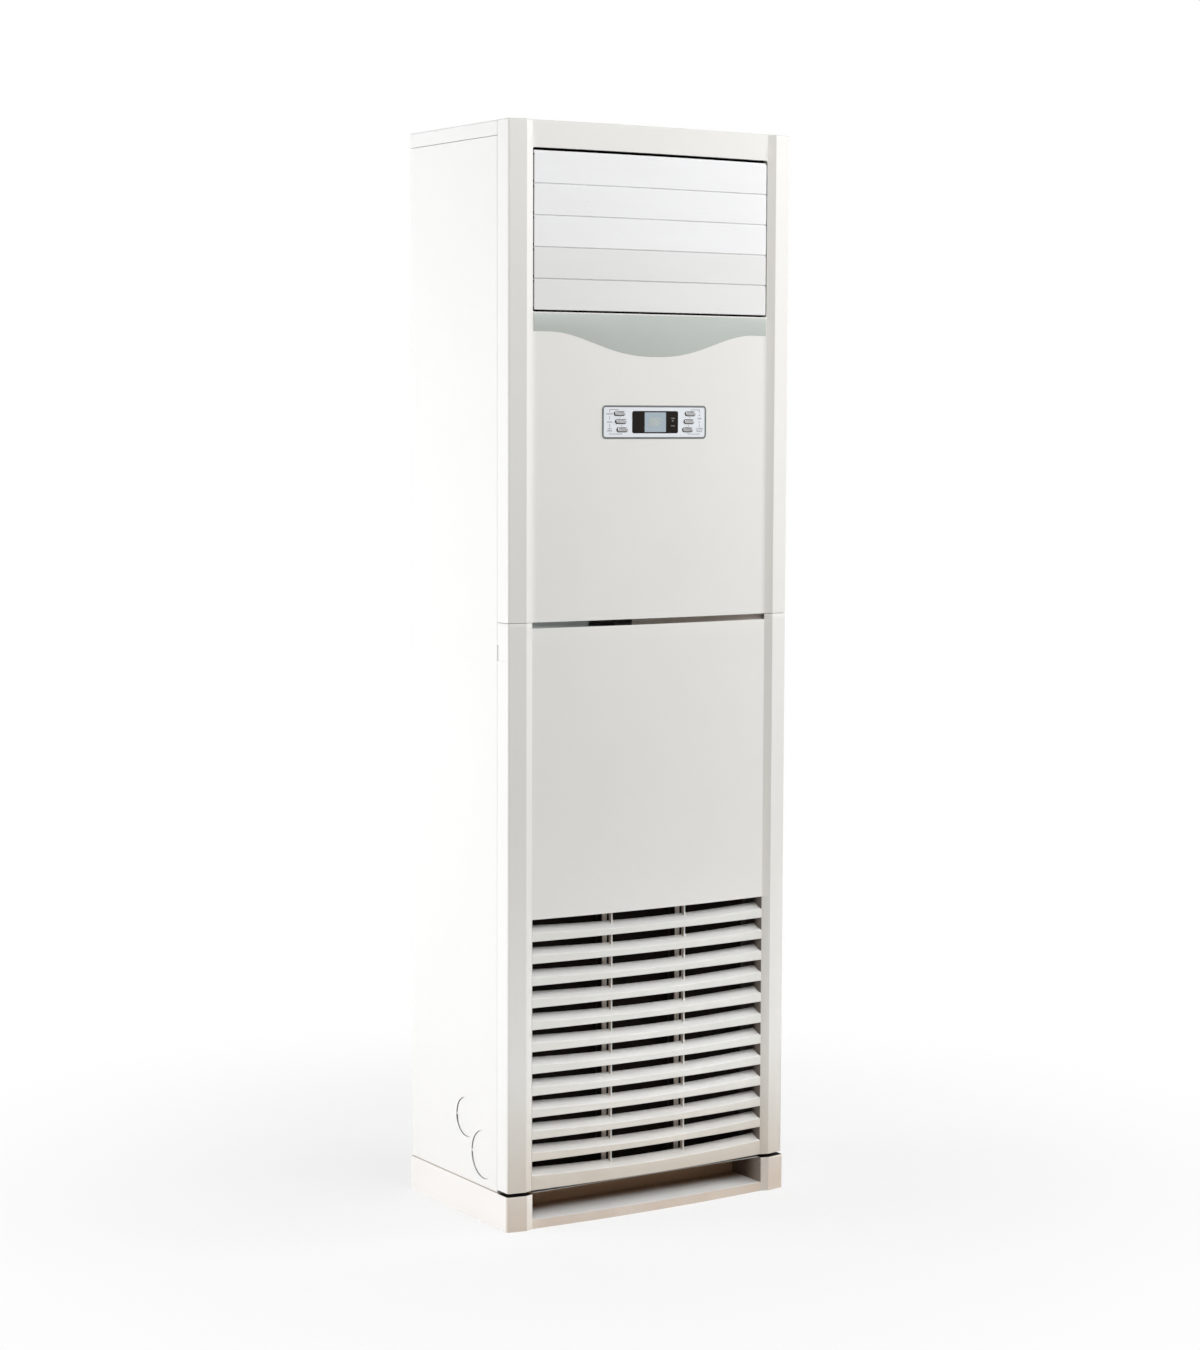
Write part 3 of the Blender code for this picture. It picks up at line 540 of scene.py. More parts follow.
class Groups:
    """Shader node groups that several finishes share, each built once."""

    PIECE_SHIFT = (7.0, 11.0, 13.0)
    CLOUD_ENDS = (0.35, 0.7)
    CLOUD_ROUGHNESS = 0.55
    SMEAR_SCALE = 35.0
    DUST_SHADE_EDGE = 0.004
    DUST_SHADE_BEHIND = 0.15
    DUST_SHADE_SCALE = 12.0
    DUST_SHADE_UNEVEN = (0.5, 0.75)
    DEPTH_SHADE_SCALE = 30.0
    DEPTH_SHADE_WANDER = 0.006

    def __init__(self) -> None:
        """Builds the groups."""
        self.cloudy = self._cloudy_surface()
        self.dust_and_shade = self._floor_dust_and_shade()
        self.depth_shade = self._painted_depth_shade()
        self.grain = self._fine_grain()
        self.net = self._thread_net()

    @staticmethod
    def _cloudy_surface() -> Tree:
        """Builds the cloudy variation of colour and gloss that old mouldings and paint have; on the chrome
        keys its dark cloud is a painted reflection.

        Returns:
            The group.
        """
        inputs = {
            "Colour": PALE,
            "Aged Colour": (0.7, 0.7, 0.65, 1),
            "Cloud Scale": 6.0,
            "Cloud Amount": 0.3,
            "Stretch": (1, 1, 1),
            "Roughness": 0.4,
            "Roughness Swing": 0.08,
        }
        group = GroupMaker("cloudy_surface", inputs, {"Colour": Socket.COLOUR, "Roughness": Socket.VALUE})
        given = group.given
        drawn = group.add("VectorMath", {0: group.place(), 1: given["Stretch"]}, operation="MULTIPLY")
        own = group.add("ObjectInfo").outputs["Random"]
        away = group.add("VectorMath", {0: Groups.PIECE_SHIFT, "Scale": own}, operation="SCALE")
        moved = group.add("VectorMath", {0: drawn.outputs[0], 1: away.outputs[0]}, operation="ADD").outputs[0]
        cloud = group.noise(moved, given["Cloud Scale"], Detail=4.0, Roughness=Groups.CLOUD_ROUGHNESS)
        spread = group.ramp(cloud, *Groups.CLOUD_ENDS, smooth=False)
        share = group.math("MULTIPLY", spread, given["Cloud Amount"])
        smear = group.noise(moved, Groups.SMEAR_SCALE, Detail=3.0)
        gloss = group.math("MULTIPLY_ADD", smear, given["Roughness Swing"], given["Roughness"])
        colour = group.blend(share, given["Colour"], given["Aged Colour"])
        return group.put_out({"Colour": colour, "Roughness": gloss})

    @staticmethod
    def _floor_dust_and_shade() -> Tree:
        """Builds the duller colour near the floor, where dust shows most, partly floor dust and partly
        painted shade on the front faces, that ends at a depth.

        Returns:
            The group.
        """
        inputs = {
            "Colour": PALE,
            "Dust Colour": (0.6, 0.5, 0.4, 1),
            "Dust Top": 0.4,
            "Dust Depth": 0.2,
            "Dust Amount": 0.5,
        }
        group = GroupMaker("floor_dust", inputs, {"Colour": Socket.COLOUR})
        given = group.given
        place = group.place()
        axes = group.axes(place)
        low_down = group.ramp(axes["Z"], 0.0, given["Dust Top"], 1.0, 0.0)
        further = group.math("ADD", given["Dust Depth"], Groups.DUST_SHADE_EDGE)
        in_front = group.ramp(axes["Y"], given["Dust Depth"], further, 1.0, Groups.DUST_SHADE_BEHIND)
        patchy = group.noise(place, Groups.DUST_SHADE_SCALE)
        uneven = group.math("MULTIPLY_ADD", patchy, *Groups.DUST_SHADE_UNEVEN)
        dust_shade_share = group.math("MULTIPLY", group.math("MULTIPLY", low_down, in_front), uneven)
        share = group.math("MULTIPLY", dust_shade_share, given["Dust Amount"], use_clamp=True)
        return group.put_out({"Colour": group.blend(share, given["Colour"], given["Dust Colour"])})

    @staticmethod
    def _painted_depth_shade() -> Tree:
        """Builds the painted shade that deepens towards the inside of a recess.

        Returns:
            The group.
        """
        inputs = {
            "Colour": PALE,
            "Grime Colour": (0.05, 0.04, 0.03, 1),
            "Clean To": -0.15,
            "Grimy From": -0.13,
        }
        group = GroupMaker("inner_grime", inputs, {"Colour": Socket.COLOUR})
        given = group.given
        place = group.place()
        patchy = group.noise(place, Groups.DEPTH_SHADE_SCALE)
        depth = group.math("MULTIPLY_ADD", patchy, Groups.DEPTH_SHADE_WANDER, group.axes(place)["Y"])
        share = group.ramp(depth, given["Clean To"], given["Grimy From"])
        return group.put_out({"Colour": group.blend(share, given["Colour"], given["Grime Colour"])})

    @staticmethod
    def _fine_grain() -> Tree:
        """Builds the height of a fine moulded grain or of sprayed paint.

        Returns:
            The group.
        """
        inputs = {"Grain Scale": 900.0, "Ripple Scale": 40.0, "Ripple Share": 0.5}
        group = GroupMaker("fine_grain", inputs, {"Height": Socket.VALUE})
        given = group.given
        place = group.place()
        grain = group.noise(place, given["Grain Scale"], Detail=2.0)
        ripple = group.noise(place, given["Ripple Scale"], Detail=1.0)
        return group.put_out({"Height": group.blend(given["Ripple Share"], grain, ripple, "FLOAT")})

    @staticmethod
    def _thread_net() -> Tree:
        """Builds the mask and the height of a square net of threads across X and Z.

        Returns:
            The group.
        """
        inputs = {"Pitch": 0.0016, "Thread Share": 0.4}
        group = GroupMaker("thread_net", inputs, {"Mask": Socket.VALUE, "Height": Socket.VALUE})
        axes = group.axes(group.place())
        strands = []
        for axis in ("X", "Z"):
            turn = group.math("DIVIDE", axes[axis], group.given["Pitch"])
            wave = group.math("MULTIPLY", group.math("PINGPONG", turn, 0.5), 2.0)
            strands.append(group.math("LESS_THAN", wave, group.given["Thread Share"]))
        return group.put_out({"Mask": group.math("MAXIMUM", *strands), "Height": group.math("ADD", *strands)})


class MaterialMaker(Graph):
    """Starts a material with one Principled BSDF."""

    def __init__(self, name: str, shown: Colour) -> None:
        """Makes the material, with the plain colour that a viewport shows."""
        self.made = bpy.data.materials.new(name)
        self.made.use_nodes = True
        self.made.diffuse_color = (*shown, 1)
        super().__init__(self.made.node_tree)
        self.shader = self.tree.nodes["Principled BSDF"]

    def use(self, group: Tree, inputs: Inputs) -> bpy.types.NodeOutputs:
        """Places a node group and returns its outputs."""
        return self.add("Group", inputs, node_tree=group).outputs

    def bump(self, height: Signal, distance: float, strength: float) -> None:
        """Lets a height disturb the surface's normal."""
        bump = self.add("Bump", {"Distance": distance, "Strength": strength, "Height": height})
        self.feed(self.shader, {"Normal": bump.outputs["Normal"]})


@dataclass(frozen=True)
class DustAndShade:
    """Floor dust with painted shade low on the front: its colour, the height and the depth that it ends at,
    and its share.
    """

    colour: Colour = (0.74, 0.70, 0.64)
    top: float = 0.45
    depth: float = 1.0
    amount: float = 0.2


@dataclass(frozen=True)
class DepthShade:
    """Painted shade in a recess: its colour, and the depths between which it sets in."""

    colour: Colour
    lit_to: float
    shaded_from: float


@dataclass(frozen=True)
class Finish:
    """A surface finish: cloudy colour, optional floor dust with painted shade, optional painted shade deep in
    recesses, and a fine bump.
    """

    name: str
    colour: Colour
    mottled: Colour
    roughness: float
    metallic: float = 0.0
    cloud_scale: float = 6.0
    cloud_amount: float = 0.3
    swing: float = 0.08
    stretch: Point = (1.0, 1.0, 1.0)
    dust_and_shade: DustAndShade | None = None
    depth_shade: DepthShade | None = None
    grain_scale: float = 900.0
    ripple_scale: float = 40.0
    ripple_share: float = 0.4
    bump_distance: float = 0.00006
    bump_strength: float = 0.25
    coat: float = 0.0
    specular: float = 0.5

    def material(self, groups: Groups) -> bpy.types.Material:
        """Builds the material.

        Args:
            groups: the shared node groups.

        Returns:
            A material with one Principled BSDF.
        """
        maker = MaterialMaker(self.name, self.colour)
        cloudy = {
            "Colour": (*self.colour, 1),
            "Aged Colour": (*self.mottled, 1),
            "Cloud Scale": self.cloud_scale,
            "Cloud Amount": self.cloud_amount,
            "Stretch": self.stretch,
            "Roughness": self.roughness - self.swing / 2,
            "Roughness Swing": self.swing,
        }
        surface = maker.use(groups.cloudy, cloudy)
        colour = surface["Colour"]
        if self.dust_and_shade is not None:
            dust_shaded = {
                "Colour": colour,
                "Dust Colour": (*self.dust_and_shade.colour, 1),
                "Dust Top": self.dust_and_shade.top,
                "Dust Depth": self.dust_and_shade.depth,
                "Dust Amount": self.dust_and_shade.amount,
            }
            colour = maker.use(groups.dust_and_shade, dust_shaded)["Colour"]
        if self.depth_shade is not None:
            depth_shaded = {
                "Colour": colour,
                "Grime Colour": (*self.depth_shade.colour, 1),
                "Clean To": self.depth_shade.lit_to,
                "Grimy From": self.depth_shade.shaded_from,
            }
            colour = maker.use(groups.depth_shade, depth_shaded)["Colour"]
        grained = {
            "Grain Scale": self.grain_scale,
            "Ripple Scale": self.ripple_scale,
            "Ripple Share": self.ripple_share,
        }
        maker.bump(maker.use(groups.grain, grained)["Height"], self.bump_distance, self.bump_strength)
        values = {
            "Base Color": colour,
            "Roughness": surface["Roughness"],
            "Metallic": self.metallic,
            "Coat Weight": self.coat,
            "Specular IOR Level": self.specular,
        }
        maker.feed(maker.shader, values)
        return maker.made


@dataclass(frozen=True)
class NetFinish:
    """Dark net of a filter, with threads a little paler than what lies behind."""

    name: str = "filter_net"
    behind: Colour = (0.0015, 0.0010, 0.0007)
    thread: Colour = (0.020, 0.012, 0.007)
    pitch: float = 0.0018
    share: float = 0.35
    cloud_scale: float = 25.0
    cloud_amount: float = 0.8
    roughness: float = 0.6
    swing: float = 0.2
    bump_distance: float = 0.0003
    bump_strength: float = 0.6
    specular: float = 0.1

    def material(self, groups: Groups) -> bpy.types.Material:
        """Builds the material.

        Args:
            groups: the shared node groups.

        Returns:
            A material with one Principled BSDF.
        """
        maker = MaterialMaker(self.name, self.behind)
        behind = (*self.behind, 1)
        net = maker.use(groups.net, {"Pitch": self.pitch, "Thread Share": self.share})
        cloudy = {
            "Colour": (*self.thread, 1),
            "Aged Colour": behind,
            "Cloud Scale": self.cloud_scale,
            "Cloud Amount": self.cloud_amount,
            "Roughness": self.roughness,
            "Roughness Swing": self.swing,
        }
        surface = maker.use(groups.cloudy, cloudy)
        values = {
            "Base Color": maker.blend(net["Mask"], behind, surface["Colour"]),
            "Roughness": surface["Roughness"],
            "Specular IOR Level": self.specular,
        }
        maker.feed(maker.shader, values)
        maker.bump(net["Height"], self.bump_distance, self.bump_strength)
        return maker.made


def mouldings() -> tuple[Finish, ...]:
    """The finishes of the plastic front, the grille and its filter.

    Returns:
        One finish for each kind of surface.
    """
    blade = {"cloud_scale": 4.0, "cloud_amount": 0.45, "swing": 0.03, "ripple_share": 0.1}
    lengthwise = (1.0, 1.0, 7.0)
    return (
        # Beige low on the front: floor dust with painted shade, kept in front of the ridge.
        Finish("warm_white_moulding", (0.81, 0.80, 0.765), (0.775, 0.76, 0.71), 0.34,
               dust_and_shade=DustAndShade(BEIGE, 0.30, -0.161, 0.7)),
        # The columns' side faces: a paler painted light copy of the front moulding.
        Finish("flank_moulding", (0.83, 0.83, 0.815), (0.80, 0.795, 0.77), 0.40, cloud_amount=0.25,
               dust_and_shade=DustAndShade()),
        # Painted shade on the right column's left-facing inner facet.
        Finish("dulled_moulding", (0.74, 0.72, 0.675), (0.705, 0.68, 0.63), 0.38,
               dust_and_shade=DustAndShade(BEIGE, 0.30, -0.150, 0.75)),
        # Slat tops painted lighter than the slat faces, with painted shade towards their rear edges.
        Finish("grille_moulding", (0.88, 0.875, 0.85), (0.85, 0.84, 0.81), 0.34,
               dust_and_shade=DustAndShade(BEIGE, 0.25, -0.05, 0.3), depth_shade=DepthShade((0.14, 0.10, 0.08), -0.136, -0.117)),
        # The upright slat faces: a darker painted shade copy of the grille moulding.
        Finish("slat_face_moulding", (0.785, 0.78, 0.735), (0.75, 0.74, 0.69), 0.34,
               dust_and_shade=DustAndShade(BEIGE, 0.27, -0.05, 0.8)),
        # The grille's side returns: dark brown painted shade, darker deeper in.
        Finish("grille_return", (0.20, 0.165, 0.14), (0.15, 0.12, 0.10), 0.5,
               depth_shade=DepthShade((0.04, 0.03, 0.025), -0.150, -0.135), specular=0.3),
        # The ribs' side faces: brown painted shade.
        Finish("rib_side", (0.60, 0.50, 0.42), (0.50, 0.41, 0.34), 0.5, specular=0.3),
        # The bars' sides behind their fronts go near black: painted shade.
        Finish("filter_bar_moulding", (0.66, 0.59, 0.53), (0.44, 0.38, 0.33), 0.5, cloud_amount=0.7,
               cloud_scale=30.0, stretch=(6.0, 1.0, 1.0), specular=0.3,
               depth_shade=DepthShade((0.010, 0.007, 0.005), -0.1345, -0.131)),
        Finish("filter_frame_moulding", (0.030, 0.024, 0.020), (0.018, 0.014, 0.012), 0.55,
               cloud_amount=0.6, cloud_scale=14.0),
        Finish("louvre_moulding", (0.88, 0.88, 0.885), (0.83, 0.825, 0.82), 0.28,
               stretch=lengthwise, **blade),
        # The lower blades: a darker copy of the blade moulding, painted shade.
        Finish("louvre_moulding_greyed", (0.80, 0.80, 0.79), (0.76, 0.755, 0.74), 0.30,
               stretch=lengthwise, **blade),
        Finish("duct_liner", (0.012, 0.011, 0.010), (0.03, 0.026, 0.022), 0.7, cloud_amount=0.6,
               cloud_scale=15.0, specular=0.15),
    )


def sheets() -> tuple[Finish, ...]:
    """The finishes of the steel sheets and the plinth.

    Returns:
        One finish for each kind of surface.
    """
    return (
        Finish("white_painted_sheet", (0.82, 0.82, 0.81), (0.79, 0.785, 0.76), 0.42, cloud_amount=0.25,
               dust_and_shade=DustAndShade(), grain_scale=500.0),
        Finish("galvanised_sheet", (0.42, 0.41, 0.39), (0.28, 0.265, 0.24), 0.45, metallic=0.6,
               cloud_scale=70.0, cloud_amount=0.8, swing=0.25),
        Finish("primed_sheet", (0.76, 0.81, 0.79), (0.66, 0.70, 0.68), 0.6,
               cloud_scale=12.0, cloud_amount=0.6),
        Finish("brown_primed_sheet", (0.86, 0.76, 0.68), (0.74, 0.64, 0.56), 0.6,
               cloud_scale=12.0, cloud_amount=0.6),
        # Beige low on the plinth's front: floor dust with painted shade.
        Finish("plinth_moulding", (0.85, 0.84, 0.825), (0.81, 0.795, 0.77), 0.42,
               dust_and_shade=DustAndShade((0.66, 0.555, 0.455), 0.2, -0.161, 0.9)),
        # The left foot's right-facing facet: a paler painted light copy of the plinth.
        Finish("plinth_ridge", (0.88, 0.85, 0.81), (0.84, 0.80, 0.75), 0.42,
               dust_and_shade=DustAndShade((0.70, 0.61, 0.52), 0.15, amount=0.5)),
        # The right foot's left-facing facet: a darker painted shade copy of the plinth.
        Finish("plinth_dulled", (0.64, 0.58, 0.52), (0.59, 0.53, 0.47), 0.45),
        # The toe recess's side walls: dark brown painted shade, darker deeper in.
        Finish("plinth_wall", (0.36, 0.305, 0.255), (0.30, 0.25, 0.21), 0.6, specular=0.2,
               depth_shade=DepthShade((0.13, 0.09, 0.06), -0.155, -0.110)),
        # The toe recess: pale at the front, with a painted shadow deepening towards the back.
        Finish("plinth_inside", (0.92, 0.91, 0.89), (0.86, 0.84, 0.80), 0.6, specular=0.2,
               depth_shade=DepthShade((0.33, 0.20, 0.115), -0.122, -0.082)),
        # The plinth's top under the columns: near black painted shadow, paler further back.
        Finish("plinth_top", (0.010, 0.008, 0.006), (0.006, 0.005, 0.004), 0.8, specular=0.1,
               depth_shade=DepthShade((0.62, 0.54, 0.46), -0.131, -0.124)),
    )


def panel_finishes() -> tuple[Finish, ...]:
    """The finishes of the silver band and of the control panel with its print.

    Returns:
        One finish for each kind of surface.
    """
    return (
        Finish("silver_green_band", (0.445, 0.475, 0.445), (0.40, 0.425, 0.40), 0.36, metallic=0.25,
               cloud_amount=0.4, cloud_scale=4.0, coat=0.15),
        Finish("graphite_frame", (0.15, 0.17, 0.165), (0.10, 0.115, 0.11), 0.32, metallic=0.4,
               cloud_scale=60.0),
        Finish("brushed_silver_face", (0.76, 0.79, 0.825), (0.70, 0.74, 0.785), 0.36, metallic=0.2,
               cloud_scale=20.0, cloud_amount=0.35, coat=0.1),
        Finish("gloss_black_window", (0.012, 0.009, 0.007), (0.020, 0.013, 0.010), 0.12,
               cloud_scale=30.0, bump_strength=0.03, specular=0.12),
        Finish("grey_blue_screen", (0.40, 0.475, 0.53), (0.36, 0.43, 0.48), 0.22,
               cloud_scale=40.0, cloud_amount=0.5, bump_strength=0.04),
        Finish("pale_digit", (0.68, 0.66, 0.50), (0.62, 0.61, 0.48), 0.3, cloud_scale=60.0),
        # The chrome's dark cloud paints reflection patches; key_shade is a painted dark reflection on the key
        # rims.
        Finish("chromed_key", (0.50, 0.50, 0.51), (0.30, 0.29, 0.29), 0.14, metallic=1.0,
               cloud_scale=120.0, cloud_amount=0.8, swing=0.06, bump_strength=0.05),
        Finish("key_shade", (0.045, 0.040, 0.038), (0.03, 0.027, 0.025), 0.3, metallic=0.6,
               cloud_scale=80.0, specular=0.2),
        Finish("grey_print", (0.11, 0.105, 0.10), (0.15, 0.14, 0.135), 0.5, cloud_scale=200.0),
        Finish("pale_print", (0.42, 0.42, 0.42), (0.36, 0.36, 0.36), 0.5, cloud_scale=200.0),
    )


class Paints:
    """Every finish of the cabinet, by name, as finished materials."""

    def __init__(self) -> None:
        """Builds the shared groups and the materials."""
        groups = Groups()
        finishes = (*mouldings(), *sheets(), *panel_finishes(), NetFinish())
        self.by_name = {finish.name: finish.material(groups) for finish in finishes}

    def put(self, piece: Piece, name: str) -> None:
        """Gives a whole piece one of the materials."""
        slots = piece.data.materials
        if not slots:
            slots.append(None)
        for index in range(len(slots)):
            slots[index] = self.by_name[name]


@dataclass(frozen=True)
class Patch:
    """Faces that take a second finish, by the limits of their middles and of their normals."""

    paint: str
    x: Flat = ANY
    y: Flat = ANY
    z: Flat = ANY
    normal_x: Flat = ANY
    normal_y: Flat = ANY
    normal_z: Flat = ANY
    both_sides: bool = False

    def takes(self, middle: Vector, normal: Vector) -> bool:
        """Tells whether a face belongs to the patch.

        Args:
            middle: the face's middle.
            normal: the face's normal.

        Returns:
            Whether every value lies between its limits, X as on the right where both_sides is set.
        """
        values = [*middle, *normal]
        if self.both_sides:
            values[0], values[3] = abs(values[0]), abs(values[3])
        limits = (self.x, self.y, self.z, self.normal_x, self.normal_y, self.normal_z)
        return all(low < value < high for value, (low, high) in zip(values, limits))


class Shop:
    """Puts finished pieces on the cabinet's bodies and reports them."""

    def __init__(self, frame: dict, paints: Paints) -> None:
        """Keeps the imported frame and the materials."""
        self.nodes = frame["nodes"]
        self.paints = paints

    def paint_faces(self, piece: Piece, paint: str, chosen: Callable[[Vector, Vector], bool]) -> None:
        """Gives some faces of a piece a second material.

        Args:
            piece: the piece, which has its first material.
            paint: name of the second material.
            chosen: says from a face's middle and normal whether it takes the second one.
        """
        piece.data.materials.append(self.paints.by_name[paint])
        second = len(piece.data.materials) - 1
        for polygon in piece.data.polygons:
            if chosen(polygon.center, polygon.normal):
                polygon.material_index = second

    def patch(self, piece: Piece, patches: Sequence[Patch]) -> None:
        """Paints patches of a piece, the later ones over the earlier."""
        for patch in patches:
            self.paint_faces(piece, patch.paint, patch.takes)

    def place(
        self,
        piece: Piece,
        paint: str,
        slot: Slot,
        body: str = ROOT_BODY,
        stands_for: Sequence[str] = (),
    ) -> Piece:
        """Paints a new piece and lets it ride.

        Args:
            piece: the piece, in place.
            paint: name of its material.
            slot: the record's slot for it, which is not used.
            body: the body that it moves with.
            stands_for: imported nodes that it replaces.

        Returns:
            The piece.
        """
        self.paints.put(piece, paint)
        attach(piece, body)
        if stands_for:
            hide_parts(*stands_for)
        LOG.info("%s in %s rides on %s", piece.name, paint, body)
        return piece

    def dress(self, node: str, paint: str) -> None:
        """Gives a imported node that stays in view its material."""
        self.paints.put(self.nodes[node], paint)
        LOG.info("%s dressed in %s", node, paint)

    def soften_node(self, node: str, paint: str, slot: Slot, width: float) -> Piece:
        """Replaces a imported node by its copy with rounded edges.

        Args:
            node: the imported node.
            paint: name of the material.
            slot: the record's slot for it.
            width: width of the rounding.

        Returns:
            The copy in its place.
        """
        copy = softened_copy(self.nodes[node], f"{node}_fine", width)
        return self.place(copy, paint, slot, stands_for=(node,))


# Sub-assemblies


@dataclass
class FrontMouldings:
    """The two front mouldings: faceted columns on both sides of a bowed front."""

    bow_steps: int = 56
    arc_steps: int = 6
    ridge_steps: int = 3
    top_steps: int = 5
    lip_steps: int = 4
    least_radius: float = 0.0003
    lip: float = 0.0005
    lip_depth: float = 0.012
    frame_margin: float = 0.004
    recess_height: float = 0.0270
    recess_bottom: float = 0.9615
    recess_length: float = 0.0260
    recess_depth: float = 0.0018
    skin_share: float = 0.9
    rim: float = 0.0004
    crease_angle: float = 24.0
    patches: tuple[Patch, ...] = (
        # The columns' side faces take the paler painted light copy.
        Patch("flank_moulding", normal_x=(0.995, math.inf), both_sides=True),
        # The right column's inner facet takes painted shade.
        Patch("dulled_moulding", x=(0.2, math.inf), normal_x=(-math.inf, -0.25), normal_y=(-math.inf, -0.8)),
    )
    sizes: Sizes = SIZES

    def plan(self, distance: float = 0.0) -> list[Vector]:
        """Draws the plan of the front.

        Args:
            distance: how far it is inset.

        Returns:
            Its points, from the left seam to the right one.
        """
        s = self.sizes
        start = Vector((-s.half, s.ridge_y + s.wrap))
        corner = Vector((-s.half, s.ridge_y + s.corner_setback))
        ridge = Vector((-s.half + s.ridge_inset, s.ridge_y))
        bow = [Vector((x, s.bow_y(x))) for x in stations(s.panel_half, self.bow_steps)]
        column = [start, corner, ridge]
        sharp = inset_path(column + bow + mirrored(column), distance)
        left = [sharp[0], Vector((sharp[0].x, s.ridge_y + s.wrap - self.recess_length))]
        left += round_corner(*sharp[0:3], max(s.corner_radius - distance, self.least_radius), self.arc_steps)
        left += round_corner(*sharp[1:4], max(s.ridge_radius - distance, self.least_radius), self.ridge_steps)
        return left + sharp[3:-3] + mirrored(left)

    def bow_ends(self) -> tuple[int, int]:
        """Numbers of the plan's points at the left and the right end of the bowed front."""
        first = 2 + (self.arc_steps + 1) + (self.ridge_steps + 1)
        return first, first + self.bow_steps

    def _levels(self, maker: MeshMaker, heights: Sequence[float]) -> list[Row]:
        """Adds the plan at each height and returns the rows."""
        return [maker.row([(p.x, p.y, z) for p in self.plan()]) for z in heights]

    def _join(
        self, maker: MeshMaker, rows: list[Row], open_bands: Sequence[int], inner_bands: Sequence[int]
    ) -> None:
        """Joins rows of the plan, band by band.

        Args:
            maker: the mesh in hand.
            rows: the rows, from the lowest.
            open_bands: bands where the bowed front is left open.
            inner_bands: bands that stop one point before each seam.
        """
        first, last = self.bow_ends()
        for index, (lower, upper) in enumerate(zip(rows, rows[1:])):
            start = 1 if index in inner_bands else 0
            end = len(lower) - start
            spans = ((start, first + 1), (last, end)) if index in open_bands else ((start, end),)
            for low, high in spans:
                maker.bridge(lower[low:high], upper[low:high], False)

    def _finish(self, maker: MeshMaker) -> Piece:
        """Turns a skin into a moulding with a wall."""
        piece = maker.build(self.crease_angle, Vector((0, -1, 0)))
        thicken(piece, self.sizes.wall * self.skin_share, self.rim)
        return piece

    def build_upper(self) -> Piece:
        """Builds the upper moulding, with its outlet opening and rounded top.

        Returns:
            The skin with its wall.
        """
        s = self.sizes
        maker = MeshMaker("upper_front_moulding")
        low, high = s.outlet_bottom - self.frame_margin, s.outlet_top + self.frame_margin
        rows = self._levels(maker, (s.mid_seam + s.seam / 2, low, high))
        for inwards, down in quarter(self.top_steps):
            z = s.height - s.edge_round * down
            rows.append(maker.row([(p.x, p.y, z) for p in self.plan(s.edge_round * inwards)]))
        self._join(maker, rows, (1,), ())
        maker.face(rows[-1])
        first, last = self.bow_ends()
        self._frame_opening(maker, rows[1][first : last + 1], rows[2][first : last + 1])
        return self._finish(maker)

    def _frame_opening(self, maker: MeshMaker, below: Row, above: Row) -> None:
        """Joins the opening's rounded lip to the moulding round it.

        Args:
            maker: the mesh in hand.
            below: the row under the opening, left to right.
            above: the row over it, left to right.
        """
        s = self.sizes
        arc, count = self.arc_steps, self.bow_steps
        rings = [(self.lip * outwards, self.lip * deep) for deep, outwards in quarter(self.lip_steps)]
        rows = []
        for grow, depth in (*rings, (0.0, self.lip_depth)):
            low = (-s.outlet_half - grow, s.outlet_bottom - grow)
            high = (s.outlet_half + grow, s.outlet_top + grow)
            outline = rounded_outline(low, high, s.outlet_radius + grow, count, arc)
            rows.append(maker.row([(x, s.bow_y(x) + depth, z) for x, z in outline]))
        for outer, inner in zip(rows, rows[1:]):
            maker.bridge(outer, inner, True)
        lip = rows[0]
        for i in range(count):
            maker.face((below[i], below[i + 1], lip[i + 1], lip[i]))
        top_start = count + 2 * arc + 1
        upper = lip[top_start : top_start + count + 1]
        for i in range(count):
            maker.face((upper[i], upper[i + 1], above[count - i - 1], above[count - i]))
        self._fan(maker, lip[count : top_start + 1], below[count], above[count])
        self._fan(maker, lip[top_start + count :] + [lip[0]], above[0], below[0])

    def _fan(self, maker: MeshMaker, side: Row, start: bmesh.types.BMVert, end: bmesh.types.BMVert) -> None:
        """Joins one side of the lip, with an arc at either end, to two corners outside it.

        Args:
            maker: the mesh in hand.
            side: the lip's points along that side.
            start: the corner near the side's first point.
            end: the corner near its last point.
        """
        for i, (a, b) in enumerate(zip(side, side[1:])):
            if i < self.arc_steps:
                maker.face((start, b, a))
            elif i == self.arc_steps:
                maker.face((start, end, b, a))
            else:
                maker.face((end, b, a))

    def build_lower(self) -> Piece:
        """Builds the lower moulding: columns, bowed panel and finger recesses.

        Returns:
            The skin with its wall.
        """
        s = self.sizes
        maker = MeshMaker("lower_front_moulding")
        recess = (self.recess_bottom, self.recess_bottom + self.recess_height)
        heights = (s.front_bottom, s.grille_top, *recess, s.handle_bottom, s.mid_seam - s.seam / 2)
        rows = self._levels(maker, heights)
        self._join(maker, rows, (0, 4), (2,))
        count = len(rows[0])
        for side, near, far in ((Side.LEFT, 1, 0), (Side.RIGHT, count - 2, count - 1)):
            push = Vector((-side.value * self.recess_depth, 0, 0))
            corners = [rows[2][far], rows[2][near], rows[3][near], rows[3][far]]
            floor = maker.row([tuple(corner.co + push) for corner in corners])
            maker.face(floor)
            for i in range(3):
                maker.face((corners[i], corners[i + 1], floor[i + 1], floor[i]))
        return self._finish(maker)

    def make(self, shop: Shop) -> None:
        """Builds and places both mouldings."""
        skins = ((self.build_upper(), "upper_front_panel"), (self.build_lower(), "lower_front_panel"))
        for piece, node in skins:
            shop.place(piece, "warm_white_moulding", Slot.SHELL, stands_for=(node,))
            shop.patch(piece, self.patches)


